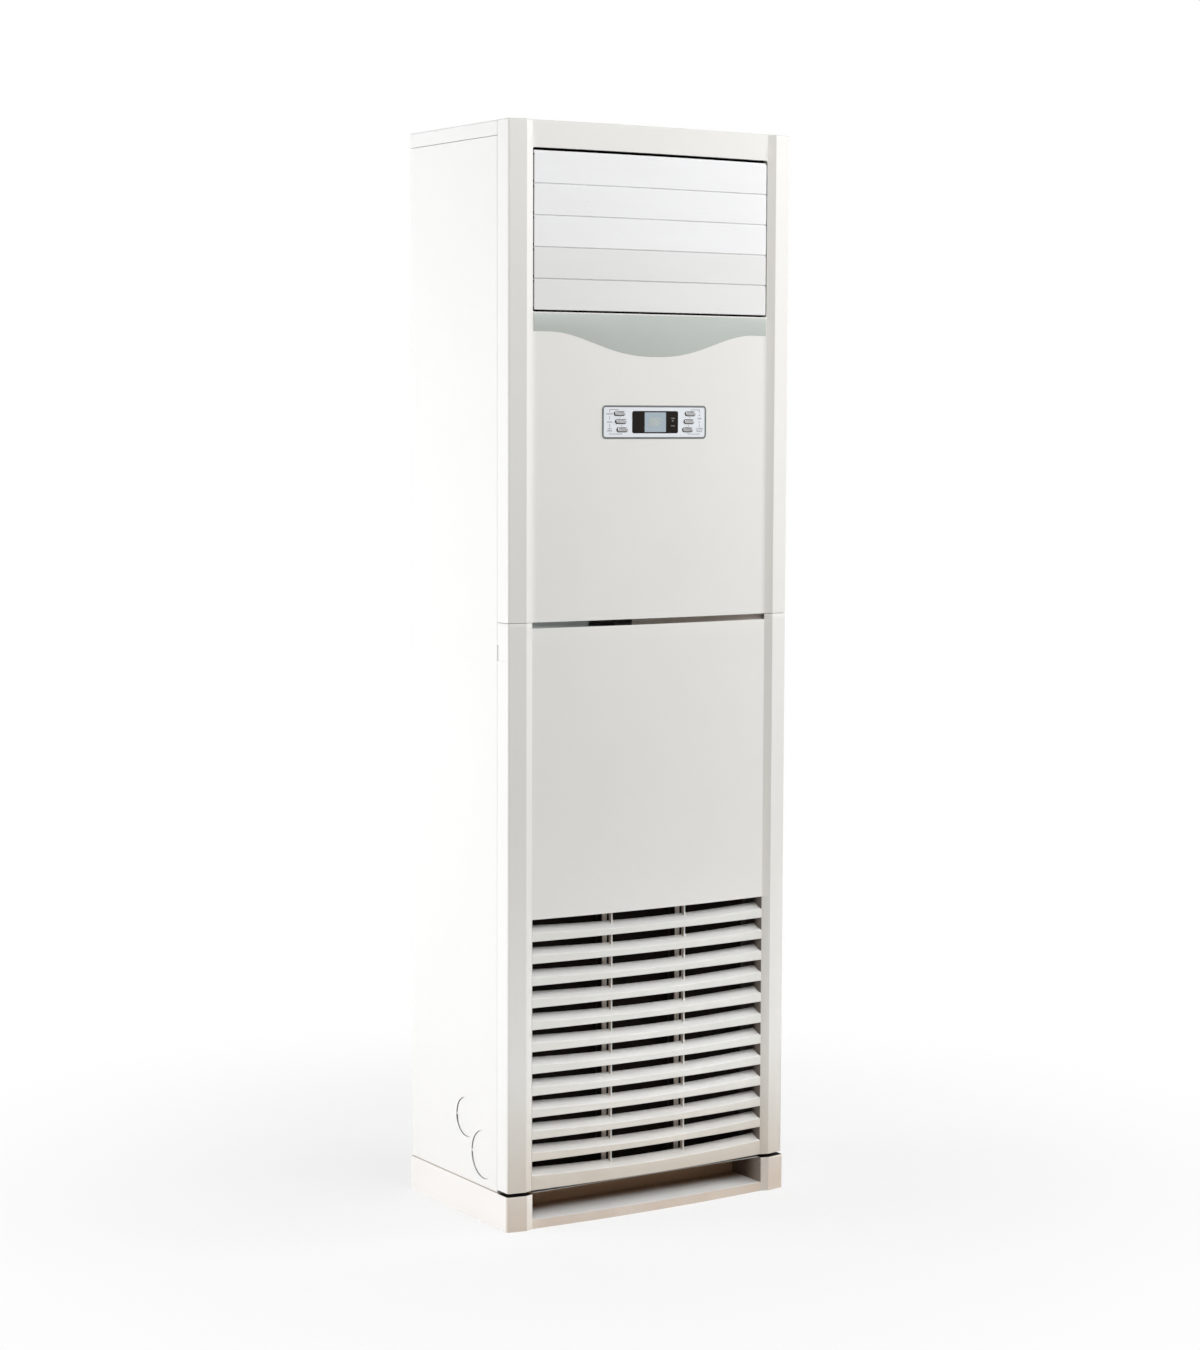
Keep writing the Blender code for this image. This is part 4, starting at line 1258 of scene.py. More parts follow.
@dataclass
class LouvreSet:
    """Five bowed blades with end ears and pins, each on its own body."""

    count: int = 5
    unshaded_count: int = 3
    top_gap: float = 0.0065
    foot_gap: float = 0.0025
    gap: float = 0.0015
    end_gap: float = 0.0024
    skin: float = 0.0020
    lip: float = 0.0050
    rounding: float = 0.0012
    round_steps: int = 5
    tongue_clear: float = 0.0003
    tongue_thickness: float = 0.0012
    tongue_overlap: float = 0.0013
    rib_rise: float = 0.006
    pivot_depth: float = 0.0115
    pin_radius: float = 0.0025
    pin_facets: int = 24
    pin_end: float = 0.2402
    ear_radius: float = 0.0055
    ear_width: float = 0.0025
    ear_inset: float = 0.0003
    ear_steps: int = 16
    ear_reach: float = 70.0
    edge: float = 0.0003
    edge_angle: float = 60.0
    bow_steps: int = 48
    sizes: Sizes = SIZES

    def pitch(self) -> float:
        """Height from one pair of pins to the next."""
        return (self.sizes.outlet_top - self.sizes.outlet_bottom - self.top_gap - self.foot_gap) / self.count

    def pivot_y(self) -> float:
        """Depth of the pins."""
        return self.sizes.ridge_y + self.sizes.panel_setback + self.pivot_depth

    def section(self) -> list[Vector]:
        """Draws a blade's section: a skin, a tongue on its upper edge and two stiffening lips.

        Returns:
            Its points about the middle of the blade's front face, depth first.
        """
        top = (self.pitch() - self.gap) / 2
        shoulder = Vector((self.skin + self.tongue_clear, top))
        tongue_back = shoulder.x + self.tongue_thickness
        tip = top + self.gap + self.tongue_overlap
        front_top, front_foot, back_foot = Vector((0, top)), Vector((0, -top)), Vector((self.skin, -top))
        tongue = ((self.lip, top), (tongue_back, top), (tongue_back, tip), (shoulder.x, tip))
        outer = [*(Vector(p) for p in tongue), shoulder]
        outer += round_corner(shoulder, front_top, front_foot, self.rounding, self.round_steps)
        outer += round_corner(front_top, front_foot, back_foot, self.rounding, self.round_steps)
        outer.append(back_foot)
        rib = -top + self.rib_rise
        above = rib + self.tongue_thickness
        inner = ((self.skin, rib), (self.lip, rib), (self.lip, above), (self.skin, above))
        upper = ((self.skin, top - self.skin), (self.lip, top - self.skin))
        return outer + [Vector(p) for p in inner + upper]

    def _ear(self) -> list[Flat]:
        """Draws a blade's ear about its pin.

        Returns:
            Its outline, depth first.
        """
        back = -self.pivot_depth + self.skin / 2
        reach = (self.pitch() - self.gap) / 2 - self.rounding
        turn = 2 * self.ear_reach
        steps = range(self.ear_steps + 1)
        angles = [math.radians(-self.ear_reach + turn * step / self.ear_steps) for step in steps]
        nose = [(self.ear_radius * math.cos(a), self.ear_radius * math.sin(a)) for a in angles]
        return [(back, reach), (back, -reach), *nose]

    def build(self, index: int) -> Piece:
        """Builds one blade about its pins.

        Args:
            index: its number from the top, from 0.

        Returns:
            The blade in its closed place.
        """
        s = self.sizes
        maker = MeshMaker(f"louvre_blade_{index + 1}")
        half = s.outlet_half - self.end_gap
        pivot = self.pivot_y()
        section = self.section()
        rings = []
        for x in stations(half, self.bow_steps):
            rings.append([(x, s.bow_y(x) - pivot + p.x, p.y) for p in section])
        maker.loft(rings)
        turns = [2 * math.pi * k / self.pin_facets for k in range(self.pin_facets)]
        pin = [(self.pin_radius * math.cos(a), self.pin_radius * math.sin(a)) for a in turns]
        outer = half - self.ear_inset
        for side in Side:
            sign = side.value
            maker.prism(Axis.X, self._ear(), sign * (outer - self.ear_width), sign * outer)
            maker.prism(Axis.X, pin, sign * (half - self.ear_width), sign * self.pin_end)
        blade = maker.build()
        soften(blade, self.edge, self.edge_angle)
        height = s.outlet_bottom + self.foot_gap + self.pitch() * (self.count - index - 0.5)
        blade.location = (0, pivot, height)
        return blade

    def make(self, shop: Shop) -> None:
        """Builds and places the blades."""
        for index in range(self.count):
            number = index + 1
            # The lower blades take the painted shade copy of the moulding.
            paint = "louvre_moulding" if index < self.unshaded_count else "louvre_moulding_greyed"
            node = f"outlet_louver_{number}"
            shop.place(self.build(index), paint, Slot.LOUVRE, f"louver_{number}", (node,))


@dataclass
class IntakeGrille:
    """Bowed slats and a deep rail between side returns, tied by two ribs, over a filter."""

    slat_count: int = 11
    slat_face: float = 0.0152
    slat_rise: float = 0.0108
    slat_run: float = 0.0205
    slat_clear: float = 0.0134
    thickness: float = 0.0025
    rail_face: float = 0.0252
    back_y: float = -0.1214
    rib_x: float = 0.0745
    rib_width: float = 0.0026
    rib_setback: float = 0.0125
    rib_depth: float = 0.0075
    return_lip: float = 0.0005
    return_taper: float = 0.006
    return_slack: float = 0.001
    arris: float = 0.0012
    foot: float = 0.0006
    heel: float = 0.0008
    edge_steps: int = 3
    arris_steps: int = 5
    arris_turn: float = 0.35
    bow_steps: int = 48
    seat: float = 0.0003
    crease_angle: float = 30.0
    bar_half: float = 0.0041
    bar_shift: float = -0.0022
    bar_front: float = -0.1385
    bar_back: float = -0.1208
    bar_above: float = 0.006
    groove: tuple[Flat, ...] = ((-0.0013, 0.0), (-0.0008, 0.0012), (0.0008, 0.0012), (0.0013, 0.0))
    edge: float = 0.0004
    sizes: Sizes = SIZES

    def pitch(self) -> float:
        """Height from one slat to the next."""
        s = self.sizes
        height = s.grille_top - s.front_bottom - self.rail_face - self.slat_rise - self.slat_clear
        return height / self.slat_count

    def section(self, x: float, face: float) -> list[Vector]:
        """Draws a slat's section: upright face, softened arris, then the rising blade.

        Args:
            x: where along the slat.
            face: height of the face at the slat's ends.

        Returns:
            The section about the slat's lower front edge, depth first.
        """
        s = self.sizes
        slope = self.slat_rise / self.slat_run
        top = face - slope * (s.ridge_y + s.panel_setback - s.bow_y(x))
        drop = self.thickness * math.hypot(1, slope)
        foot, arris, rear = Vector((0, 0)), Vector((0, top)), Vector((self.slat_run, top + self.slat_rise))
        inner_foot = Vector((self.thickness, 0))
        under = Vector((self.slat_run, top + self.slat_rise - drop))
        points = [inner_foot, Vector((self.thickness, top - drop + self.thickness * slope)), under]
        points += round_corner(under, rear, arris, self.heel, self.edge_steps)
        points += round_corner(rear, arris, foot, self.arris, self.arris_steps)
        points += round_corner(arris, foot, inner_foot, self.foot, self.edge_steps)
        return points

    def add_slat(self, maker: MeshMaker, low: float, face: float) -> None:
        """Adds one slat.

        Args:
            maker: the mesh in hand.
            low: height of its lower edge.
            face: height of its face at its ends.
        """
        rings = []
        for x in stations(self.sizes.panel_half - self.seat, self.bow_steps):
            front = self.sizes.bow_y(x)
            rings.append([(x, front + p.x, low + p.y) for p in self.section(x, face)])
        maker.loft(rings)

    def build(self) -> Piece:
        """Builds the grille.

        Returns:
            The grille in place.
        """
        s = self.sizes
        maker = MeshMaker("bowed_intake_grille")
        self.add_slat(maker, s.front_bottom, self.rail_face)
        for k in range(self.slat_count):
            self.add_slat(maker, s.grille_top - self.pitch() * (k + 1), self.slat_face)
        edge = s.panel_half - self.seat
        top = s.grille_top - self.seat
        front = s.bow_y(edge)
        foot = s.front_bottom + self.rail_face - self.slat_rise / 2
        plan = ((edge, front), (edge, self.back_y), (edge - s.wall, self.back_y))
        plan += ((edge - s.wall, front + self.return_taper), (edge - self.return_lip, front))
        for side in Side:
            maker.prism(Axis.Z, [(side.value * x, y) for x, y in plan], s.front_bottom, top)
            middle = side.value * self.rib_x
            left, right = middle - self.rib_width / 2, middle + self.rib_width / 2
            near = s.bow_y(middle) + self.rib_setback
            outline = ((left, foot), (right, foot), (right, top), (left, top))
            maker.prism(Axis.Y, outline, near, near + self.rib_depth)
        return maker.build(self.crease_angle)

    def build_bars(self) -> Piece:
        """Builds the two upright bars that hold the filter off the slats.

        Returns:
            The bars in place, with a groove down their fronts.
        """
        s = self.sizes
        maker = MeshMaker("filter_bars")
        for side in Side:
            x = side.value * self.rib_x + self.bar_shift
            front = [(-self.bar_half, 0.0), *self.groove, (self.bar_half, 0.0)]
            plan = [(x + dx, self.bar_front + dy) for dx, dy in front]
            plan += [(x + self.bar_half, self.bar_back), (x - self.bar_half, self.bar_back)]
            maker.prism(Axis.Z, plan, s.front_bottom + self.rail_face, s.grille_top + self.bar_above)
        bars = maker.build(self.crease_angle)
        soften(bars, self.edge)
        return bars

    def _on_slat_face(self, middle: Vector, normal: Vector) -> bool:
        """Whether a face of the grille is an upright slat front, from its lower edge to the arris; these
        faces take painted shade.
        """
        in_front = middle.y < self.sizes.bow_y(middle.x) + self.thickness / 2
        return in_front and normal.z < self.arris_turn

    def make(self, shop: Shop) -> None:
        """Builds the grille and dresses the filter behind it."""
        sideways = (0.9, math.inf)
        inner_wall = self.sizes.panel_half - self.sizes.wall - self.return_slack
        rib = (self.rib_x - self.rib_width, self.rib_x + self.rib_width)
        # Slopes take the painted light moulding, slat faces a painted shade copy.
        grille = shop.place(self.build(), "grille_moulding", Slot.SHELL, stands_for=("intake_grille",))
        shop.paint_faces(grille, "slat_face_moulding", self._on_slat_face)
        # The returns and the rib sides are painted shade.
        sides = (
            Patch("grille_return", x=(inner_wall, math.inf), normal_x=sideways, both_sides=True),
            Patch("rib_side", x=rib, normal_x=sideways, both_sides=True),
        )
        shop.patch(grille, sides)
        shop.place(self.build_bars(), "filter_bar_moulding", Slot.LINER)
        shop.soften_node("filter_frame", "filter_frame_moulding", Slot.LINER, self.edge)
        shop.dress("filter_mesh", "filter_net")


@dataclass
class WaveBand:
    """Silver band under the outlet, with a wave along its lower edge."""

    top_gap: float = 0.0020
    side_gap: float = 0.0020
    flat: float = 0.0318
    dip: float = 0.0395
    end: float = 0.0306
    fullness: float = 1.2
    thickness: float = 0.0022
    proud: float = 0.0006
    rounding: float = 0.0005
    steps: int = 96
    round_steps: int = 4
    sizes: Sizes = SIZES

    def low_edge(self, x: float) -> float:
        """Height of the wave at x."""
        share = min(1.0, abs(x) / (self.sizes.panel_half - self.end)) ** self.fullness
        return self.sizes.outlet_bottom - self.flat - self.dip * (1 + math.cos(math.pi * share)) / 2

    def build(self) -> Piece:
        """Builds the band.

        Returns:
            The band in place.
        """
        s = self.sizes
        maker = MeshMaker("silver_wave_band")
        top = s.outlet_bottom - self.top_gap
        arc = [(self.rounding * a, self.rounding * b) for a, b in quarter(self.round_steps)]
        rings = []
        for x in stations(s.panel_half - self.side_gap, self.steps):
            front, low = s.bow_y(x) - self.proud, self.low_edge(x)
            back = front + self.thickness
            foot = [(x, front + deep, low + up) for up, deep in arc]
            head = [(x, front + deep, top - down) for deep, down in arc]
            rings.append([(x, back, low), *foot, *head, (x, back, top)])
        maker.loft(rings)
        return maker.build()

    def make(self, shop: Shop) -> None:
        """Builds and places the band."""
        shop.place(self.build(), "silver_green_band", Slot.SILVER, stands_for=("wave_trim",))


@dataclass(frozen=True)
class Word:
    """A printed word: its text, X, height over the panel's middle and letter size."""

    text: str
    x: float
    height: float
    size: float


@dataclass
class ControlPanel:
    """Framed panel with a display window, a screen, six keys and their printed lines."""

    width: float = 0.210
    height: float = 0.0565
    radius: float = 0.007
    columns: int = 32
    corner_steps: int = 8
    round_steps: int = 4
    dome_steps: int = 6
    end_steps: int = 12
    bezel_width: float = 0.0028
    bezel_proud: float = 0.0012
    bezel_seat: float = 0.0003
    bezel_outer_round: float = 0.0008
    bezel_inner_round: float = 0.0009
    face_proud: float = 0.0005
    window_proud: float = 0.0009
    key_width: float = 0.0220
    key_height: float = 0.0080
    key_proud: float = 0.0022
    key_depth: float = 0.0028
    key_dome: float = 0.0016
    key_dome_inset: float = 0.0026
    key_crease: float = 40.0
    key_places: tuple[Flat, ...] = ((0.0712, 0.0143), (0.0688, 0.0010), (0.0660, -0.0128))
    # The rim faces of each key take a painted dark reflection.
    key_shade: Patch = Patch("key_shade", normal_y=(-0.94, math.inf), normal_z=(-math.inf, 0.60))
    segment_length: float = 0.0043
    segment_height: float = 0.0062
    segment_width: float = 0.0008
    segment_lean: float = 0.0008
    digit_pitch: float = 0.0068
    digits_left: float = -0.0118
    digit_sunk: float = 0.0003
    mark_start: float = 0.0012
    mark_length: float = 0.0022
    mark_heights: Flat = (-0.0020, 0.0045)
    print_thickness: float = 0.00012
    line_width: float = 0.0007
    line_x: float = 0.0905
    frame_ends: tuple[Flat, ...] = ((0.0210, 0.0742), (-0.0200, 0.0668))
    frame_turn: float = 0.9
    outer_dashes: tuple[Flat, ...] = ((0.0165, 0.0210), (-0.0200, -0.0180))
    left_dashes: tuple[Flat, ...] = ((0.0045, 0.0100), (-0.0080, -0.0030))
    right_dashes: tuple[Flat, ...] = ((-0.0083, -0.0035),)
    key_dashes: tuple[Flat, ...] = ((0.0702, 0.0078), (0.0676, -0.0059))
    key_dash_half: float = 0.0013
    arrows: tuple[tuple[float, int], ...] = ((0.0118, 1), (-0.0003, -1))
    arrow_half: float = 0.0014
    arrow_back: float = 0.0010
    panel_words: tuple[Word, ...] = (
        Word("ON/OFF", -0.0905, 0.0136, 0.0036),
        Word("MODE", -0.0905, -0.0002, 0.0036),
        Word("FAN", -0.0905, -0.0110, 0.0036),
        Word("SPEED", -0.0905, -0.0147, 0.0036),
        Word("TEMP", 0.0905, 0.0058, 0.0036),
        Word("LOUVRE", 0.0905, -0.0110, 0.0040),
        Word("SWING", 0.0905, -0.0153, 0.0040),
    )
    window_words: tuple[Word, ...] = (
        Word("TIMER", 0.0352, 0.0064, 0.0030),
        Word("ON", 0.0352, 0.0024, 0.0030),
        Word("LOCK", 0.0352, -0.0062, 0.0030),
    )
    sizes: Sizes = SIZES

    def bezel(self) -> Piece:
        """Builds the frame round the panel.

        Returns:
            The frame in place.
        """
        s = self.sizes
        maker = MeshMaker("panel_frame")
        inner = self.bezel_seat + self.bezel_width
        profile = [(self.bezel_seat, s.wall)]
        for a, b in quarter(self.round_steps):
            radius = self.bezel_outer_round
            profile.append((self.bezel_seat + radius * a, -self.bezel_proud + radius * b))
        for a, b in quarter(self.round_steps):
            radius = self.bezel_inner_round
            profile.append((inner - radius * b, -self.bezel_proud + radius * a))
        profile.append((inner, s.wall))
        rings = []
        for distance, depth in profile:
            low = (-self.width / 2 + distance, s.panel_z - self.height / 2 + distance)
            high = (self.width / 2 - distance, s.panel_z + self.height / 2 - distance)
            outline = rounded_outline(low, high, self.radius - distance, self.columns, self.corner_steps)
            rings.append([(x, s.bow_y(x) + depth, z) for x, z in outline])
        maker.loft(rings + [rings[0]], caps=False)
        return maker.build()

    def key(self, name: str, centre: Flat) -> Piece:
        """Builds one domed pill key.

        Args:
            name: name of the piece.
            centre: X and Z of its middle.

        Returns:
            The key in place.
        """
        maker = MeshMaker(name)
        surface = self.sizes.bow_y(centre[0])
        rim = -self.key_proud + self.key_dome
        profile = [(0.0, self.key_depth), (0.0, rim)]
        for inwards, down in quarter(self.dome_steps)[1:]:
            profile.append((self.key_dome_inset * inwards, -self.key_proud + self.key_dome * down))
        reach = self.key_width / 2 - self.key_height / 2
        turns = [180 * step / self.end_steps for step in range(self.end_steps + 1)]
        ends = [(side, -side * 90 + turn) for side in (1, -1) for turn in turns]
        rings = []
        for inset, depth in profile:
            half = self.key_height / 2 - inset
            ring = []
            for side, degrees in ends:
                angle = math.radians(degrees)
                x = centre[0] + side * reach + half * math.cos(angle)
                ring.append((x, surface + depth, centre[1] + half * math.sin(angle)))
            rings.append(ring)
        maker.loft(rings)
        return maker.build(self.key_crease)

    def plate(self, maker: MeshMaker, outline: Sequence[Flat], lift: float) -> None:
        """Adds one printed shape that lies on the panel.

        Args:
            maker: the mesh in hand.
            outline: its outline in X and Z, near enough flat.
            lift: how far the carrier stands proud of the bowed front.
        """
        middle = sum(x for x, _ in outline) / len(outline)
        near = [(x, self.sizes.bow_y(x) - lift - self.print_thickness, z) for x, z in outline]
        far = [(x, self.sizes.bow_y(middle) - lift, z) for x, z in outline]
        maker.loft([near, far])

    def bar(self, maker: MeshMaker, start: Flat, end: Flat, width: float, lift: float) -> None:
        """Adds a printed straight line with pointed ends.

        Args:
            maker: the mesh in hand.
            start: X and Z of its first tip.
            end: X and Z of its last tip.
            width: its width.
            lift: how far the carrier stands proud of the bowed front.
        """
        a, b = Vector(start), Vector(end)
        along = (b - a).normalized() * width / 2
        across = Vector((-along.y, along.x))
        points = (a, a + along + across, b - along + across, b, b - along - across, a + along - across)
        self.plate(maker, [(p.x, p.y) for p in points], lift)

    def digits(self) -> Piece:
        """Builds the three seven-segment eights and two marks on the screen.

        Returns:
            The digits in place.
        """
        maker = MeshMaker("screen_digits")
        length, height, width = self.segment_length, self.segment_height, self.segment_width
        lift = self.window_proud - self.digit_sunk
        lean = self.segment_lean
        low = self.sizes.panel_z - height
        for number in range(3):
            left = self.digits_left + number * self.digit_pitch
            for row in range(3):
                z = low + height * row
                x = left + lean * row
                self.bar(maker, (x + width / 2, z), (x + length - width / 2, z), width, lift)
            for row in range(2):
                for x in (left, left + length):
                    z = low + height * row
                    start = (x + lean * row, z + width / 2)
                    end = (x + lean * (row + 1), z + height - width / 2)
                    self.bar(maker, start, end, width, lift)
        x = self.digits_left + 3 * self.digit_pitch + self.mark_start
        for up in self.mark_heights:
            z = self.sizes.panel_z + up
            self.bar(maker, (x, z), (x + self.mark_length, z), width, lift)
        return maker.build()

    def lines(self) -> Piece:
        """Builds the thin printed lines and arrows beside the keys.

        Returns:
            The print in place.
        """
        maker = MeshMaker("panel_print")
        z0 = self.sizes.panel_z
        thin, lift = self.line_width, self.face_proud
        top_dash, foot_dash = self.outer_dashes
        for side, middles in ((Side.LEFT, self.left_dashes), (Side.RIGHT, self.right_dashes)):
            outer = side.value * self.line_x
            for z, reach in self.frame_ends:
                x = side.value * reach
                self.bar(maker, (outer, z0 + z), (x, z0 + z), thin, lift)
                self.bar(maker, (x, z0 + z), (x, z0 + z * self.frame_turn), thin, lift)
            for low, high in (top_dash, *middles, foot_dash):
                self.bar(maker, (outer, z0 + low), (outer, z0 + high), thin, lift)
            for reach, z in self.key_dashes:
                x, half = side.value * reach, self.key_dash_half
                self.bar(maker, (x, z0 + z - half), (x, z0 + z + half), thin, lift)
        for z, up in self.arrows:
            back = z0 + z - up * self.arrow_back
            tip = (self.line_x, z0 + z + up * self.arrow_half)
            base = [(self.line_x + way * self.arrow_half, back) for way in (-1, 1)]
            self.plate(maker, [*base, tip], lift)
        return maker.build()

    def lettering(self, name: str, words: Sequence[Word], lift: float) -> Piece:
        """Builds words as flat print.

        Args:
            name: name of the piece.
            words: the words.
            lift: how far the carrier stands proud of the bowed front.

        Returns:
            One mesh that holds all the words.
        """
        s = self.sizes
        maker = MeshMaker(name)
        for word in words:
            curve = bpy.data.curves.new("word", "FONT")
            curve.body = word.text
            curve.size = word.size
            curve.align_x = "CENTER"
            curve.align_y = "CENTER"
            curve.extrude = self.print_thickness / 2
            text = bpy.data.objects.new("word", curve)
            bpy.context.scene.collection.objects.link(text)
            bpy.context.view_layer.update()
            mesh = text.to_mesh()
            place = (word.x, s.bow_y(word.x) - lift - self.print_thickness / 2, s.panel_z + word.height)
            mesh.transform(Matrix.Translation(place) @ Matrix.Rotation(math.pi / 2, 4, "X"))
            for vert in mesh.vertices:
                vert.co.y += s.bow_y(vert.co.x) - s.bow_y(word.x)
            maker.shape.from_mesh(mesh)
            text.to_mesh_clear()
            bpy.data.objects.remove(text)
            bpy.data.curves.remove(curve)
        return maker.build()

    def make(self, shop: Shop) -> None:
        """Builds and places the panel's pieces and dresses its packed ones."""
        shop.place(self.bezel(), "graphite_frame", Slot.GRAPHITE, stands_for=("control_bezel",))
        shop.dress("control_face", "brushed_silver_face")
        shop.dress("display_window", "gloss_black_window")
        shop.dress("lcd_screen", "grey_blue_screen")
        for side in Side:
            for number, (x, z) in enumerate(self.key_places, start=1):
                centre = (side.value * x, self.sizes.panel_z + z)
                label = f"{side.name.lower()}_{number}"
                piece = self.key(f"chrome_key_{label}", centre)
                shop.place(piece, "chromed_key", Slot.CHROME, f"key_{label}", (f"button_{label}",))
                shop.patch(piece, (self.key_shade,))
        shop.place(self.digits(), "pale_digit", Slot.SCREEN)
        shop.place(self.lines(), "grey_print", Slot.FACE)
        words = self.lettering("panel_words", self.panel_words, self.face_proud)
        shop.place(words, "grey_print", Slot.FACE)
        words = self.lettering("window_words", self.window_words, self.window_proud)
        shop.place(words, "pale_print", Slot.WINDOW)


@dataclass
class Casing:
    """Steel sides, lid, back and pan, plinth, rail, duct and guide vanes."""

    softened: tuple[tuple[str, str, Slot, float], ...] = (
        ("side_panel_left", "white_painted_sheet", Slot.STEEL, 0.0003),
        ("side_panel_right", "white_painted_sheet", Slot.STEEL, 0.0003),
        ("back_panel", "white_painted_sheet", Slot.STEEL, 0.0004),
        ("top_cover", "white_painted_sheet", Slot.STEEL, 0.0003),
        ("divider_rail", "primed_sheet", Slot.ZINC, 0.0003),
    )
    dressed: tuple[tuple[str, str], ...] = (
        ("bottom_pan", "galvanised_sheet"),
        ("outlet_duct", "duct_liner"),
        ("air_guide_vanes", "duct_liner"),
    )
    plinth_edge: float = 0.0008
    plinth_patches: tuple[Patch, ...] = (
        # The toe recess, its walls and the plinth's top take painted shade and shadow.
        Patch("plinth_inside", x=(-math.inf, 0.24), y=(-0.165, -0.07), z=(0.01, math.inf), both_sides=True),
        Patch("plinth_top", z=(0.05, math.inf), normal_z=(0.9, math.inf)),
        # The left foot's right-facing facet takes painted light.
        Patch(
            "plinth_ridge",
            x=(-math.inf, -0.2),
            y=(-math.inf, -0.15),
            normal_x=(0.15, math.inf),
            normal_y=(-math.inf, -0.5),
        ),
        Patch(
            "plinth_wall",
            x=(0.2, 0.26),
            y=(-0.165, -0.07),
            z=(0.01, math.inf),
            normal_x=(0.9, math.inf),
            both_sides=True,
        ),
        # The right foot's left-facing facet takes painted shade.
        Patch(
            "plinth_dulled",
            x=(0.2, math.inf),
            y=(-math.inf, -0.15),
            normal_x=(-math.inf, -0.15),
            normal_y=(-math.inf, -0.5),
        ),
    )
    hook_reach: tuple[Flat, ...] = ((-0.2420, -0.1185), (-0.0315, 0.2420))
    hook_front: float = -0.1500
    hook_back: float = -0.1243
    hook_top: float = 1.0252
    hook_bottom: float = 0.9990
    hook_sheet: float = 0.0020
    hook_edge: float = 0.0003
    right_strip: Patch = Patch("brown_primed_sheet", x=(-0.05, math.inf))

    def build_hooks(self) -> Piece:
        """Builds the two angle strips on the rail, from which the lower front hangs.

        Returns:
            The strips in place.
        """
        inner, above = self.hook_front + self.hook_sheet, self.hook_bottom + self.hook_sheet
        section = (
            (self.hook_front, self.hook_top),
            (self.hook_front, self.hook_bottom),
            (self.hook_back, self.hook_bottom),
            (self.hook_back, above),
            (inner, above),
            (inner, self.hook_top),
        )
        maker = MeshMaker("rail_hook_strips")
        for start, end in self.hook_reach:
            maker.prism(Axis.X, section, start, end)
        strips = maker.build()
        soften(strips, self.hook_edge)
        return strips

    def make(self, shop: Shop) -> None:
        """Softens the sheets and dresses what lies inside."""
        plinth = shop.soften_node("base_plinth", "plinth_moulding", Slot.PLINTH, self.plinth_edge)
        shop.patch(plinth, self.plinth_patches)
        for node, paint, slot, width in self.softened:
            shop.soften_node(node, paint, slot, width)
        strips = shop.place(self.build_hooks(), "primed_sheet", Slot.ZINC)
        shop.patch(strips, (self.right_strip,))
        for node, paint in self.dressed:
            shop.dress(node, paint)


# Studio


@dataclass(frozen=True)
class Bank:
    """A soft area light: name, place, the point it looks at, size, watts and how far it opens in degrees."""

    name: str
    place: Point
    target: Point
    size: Flat
    power: float
    spread: float = 180.0

    def light(self) -> None:
        """Hangs the light."""
        data = bpy.data.lights.new(self.name, "AREA")
        data.shape = "RECTANGLE"
        data.size, data.size_y = self.size
        data.energy = self.power
        data.spread = math.radians(self.spread)
        lamp = bpy.data.objects.new(self.name, data)
        lamp.location = self.place
        lamp.rotation_euler = (Vector(self.target) - Vector(self.place)).to_track_quat("-Z", "Y").to_euler()
        bpy.context.scene.collection.objects.link(lamp)


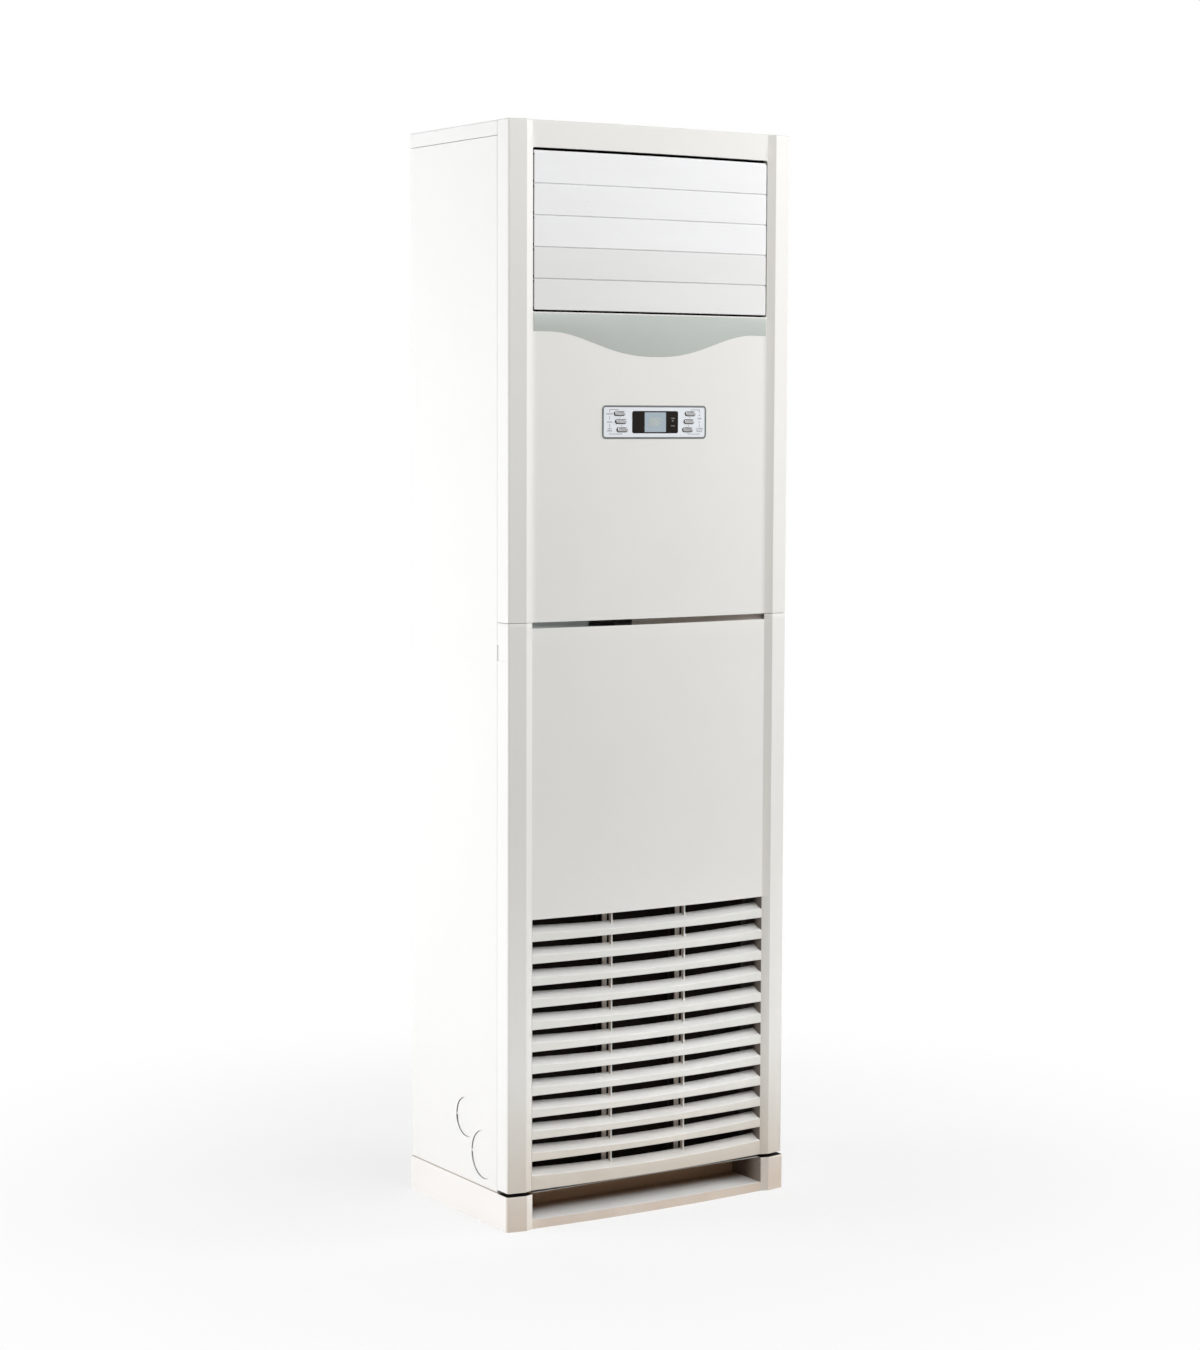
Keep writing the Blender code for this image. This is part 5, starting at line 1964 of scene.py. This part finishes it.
@dataclass
class Studio:
    """Camera at the photograph's place, plain pale floor and soft lights."""

    eye: Point = (-2.7264, -4.3248, 1.3667)
    yaw: float = math.radians(32.22)
    pitch: float = math.radians(5.04)
    roll: float = math.radians(0.185)
    focal_pixels: float = 2932.6
    long_side: int = 1350
    sensor: float = 36.0
    sight: float = 100.0
    fill: Colour = (0.97, 0.98, 1.0)
    fill_strength: float = 0.25
    floor_half: float = 30.0
    floor_drop: float = 0.0002
    floor_grey: float = 0.86
    floor_shown: Colour = (0.8, 0.8, 0.8)
    floor_roughness: float = 0.9
    floor_specular: float = 0.1
    fade_radii: Flat = (0.35, 1.6)
    fade_shares: Flat = (0.72, 1.0)
    banks: tuple[Bank, ...] = (
        Bank("left_rear_bank", (-3.4, 1.6, 1.6), (0, 0, 0.95), (2.0, 2.8), 70),
        Bank("left_rear_low_bank", (-3.4, 1.2, 0.6), (0, 0, 0.5), (2.0, 1.0), 38),
        Bank("near_high_bank", (0.2, -2.5, 2.8), (0, 0, 1.1), (1.6, 1.2), 34),
        Bank("right_bank", (3.8, -2.0, 1.8), (0, 0, 1.0), (2.0, 2.6), 27),
        Bank("right_high_bank", (3.2, -1.6, 3.2), (0, 0, 1.2), (1.6, 1.6), 55),
        Bank("right_low_spot", (1.9, -2.4, 1.9), (0, -0.17, 0.20), (0.6, 0.4), 0.15, 12),
        Bank("left_low_spot", (-1.7, -2.4, 1.9), (0, -0.17, 0.20), (0.6, 0.4), 0.10, 12),
    )

    def camera(self) -> None:
        """Makes the camera and sets it as the scene's own."""
        level = math.cos(self.pitch)
        forward = Vector((math.sin(self.yaw) * level, math.cos(self.yaw) * level, -math.sin(self.pitch)))
        right = Vector((math.cos(self.yaw), -math.sin(self.yaw), 0))
        up = right.cross(forward)
        tilted = right * math.cos(self.roll) + up * math.sin(self.roll)
        upright = up * math.cos(self.roll) - right * math.sin(self.roll)
        data = bpy.data.cameras.new("photo_camera")
        data.sensor_width = self.sensor
        data.lens = self.sensor * self.focal_pixels / self.long_side
        data.clip_end = self.sight
        camera = bpy.data.objects.new("photo_camera", data)
        turn = Matrix((tilted, upright, -forward)).transposed()
        camera.matrix_world = Matrix.Translation(self.eye) @ turn.to_4x4()
        bpy.context.scene.collection.objects.link(camera)
        bpy.context.scene.camera = camera

    @staticmethod
    def direct_look(graph: Graph) -> Signal:
        """Adds a value that is one for camera, gloss and glass rays, which show the background."""
        rays = graph.add("LightPath").outputs
        seen = graph.math("MAXIMUM", rays["Is Camera Ray"], rays["Is Glossy Ray"])
        return graph.math("MAXIMUM", seen, rays["Is Transmission Ray"])

    def world(self) -> None:
        """Makes the world: white for the camera, gloss and glass, a plain grey fill for the rest."""
        world = bpy.data.worlds.new("studio_world")
        world.use_nodes = True
        world.node_tree.nodes.clear()
        bpy.context.scene.world = world
        graph = Graph(world.node_tree)
        fill = graph.add("Background", {"Color": (*self.fill, 1), "Strength": self.fill_strength})
        seen = graph.add("Background", {"Color": (1, 1, 1, 1), "Strength": 1.0})
        shaders = {"Fac": self.direct_look(graph), 1: fill.outputs[0], 2: seen.outputs[0]}
        graph.add("OutputWorld", {"Surface": graph.add("MixShader", shaders).outputs[0]})

    def floor(self) -> None:
        """Makes a wide pale floor that keeps a soft shadow and fades into the white."""
        half = self.floor_half
        maker = MeshMaker("studio_floor")
        maker.face(maker.row([(-half, -half, 0), (half, -half, 0), (half, half, 0), (-half, half, 0)]))
        plane = maker.build()
        plane.location = (0, 0, -self.floor_drop)
        paint = MaterialMaker("studio_white", self.floor_shown)
        matt = {
            "Base Color": (*[self.floor_grey] * 3, 1),
            "Roughness": self.floor_roughness,
            "Specular IOR Level": self.floor_specular,
        }
        paint.feed(paint.shader, matt)
        glow = paint.add("Emission", {"Color": (1, 1, 1, 1), "Strength": 1.0})
        away = paint.add("VectorMath", {0: paint.place()}, operation="LENGTH").outputs["Value"]
        fade = paint.ramp(away, *self.fade_radii, *self.fade_shares)
        share = paint.math("MULTIPLY", fade, self.direct_look(paint))
        shaders = {"Fac": share, 1: paint.shader.outputs["BSDF"], 2: glow.outputs[0]}
        surface = paint.add("MixShader", shaders).outputs[0]
        paint.feed(paint.tree.nodes["Material Output"], {"Surface": surface})
        plane.data.materials.append(paint.made)

    def make(self) -> None:
        """Builds the whole studio."""
        self.camera()
        self.world()
        self.floor()
        for bank in self.banks:
            bank.light()
        bpy.context.scene.view_settings.view_transform = "Standard"


def main() -> None:
    """Loads the frame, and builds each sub-assembly and the studio."""
    logging.basicConfig(level=logging.INFO, format="%(name)s: %(message)s")
    for old in list(bpy.data.objects):
        bpy.data.objects.remove(old)
    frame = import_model()
    shop = Shop(frame, Paints())
    for maker in (Casing(), FrontMouldings(), LouvreSet(), IntakeGrille(), WaveBand(), ControlPanel()):
        maker.make(shop)
    Studio().make()


if __name__ == "__main__":
    main()
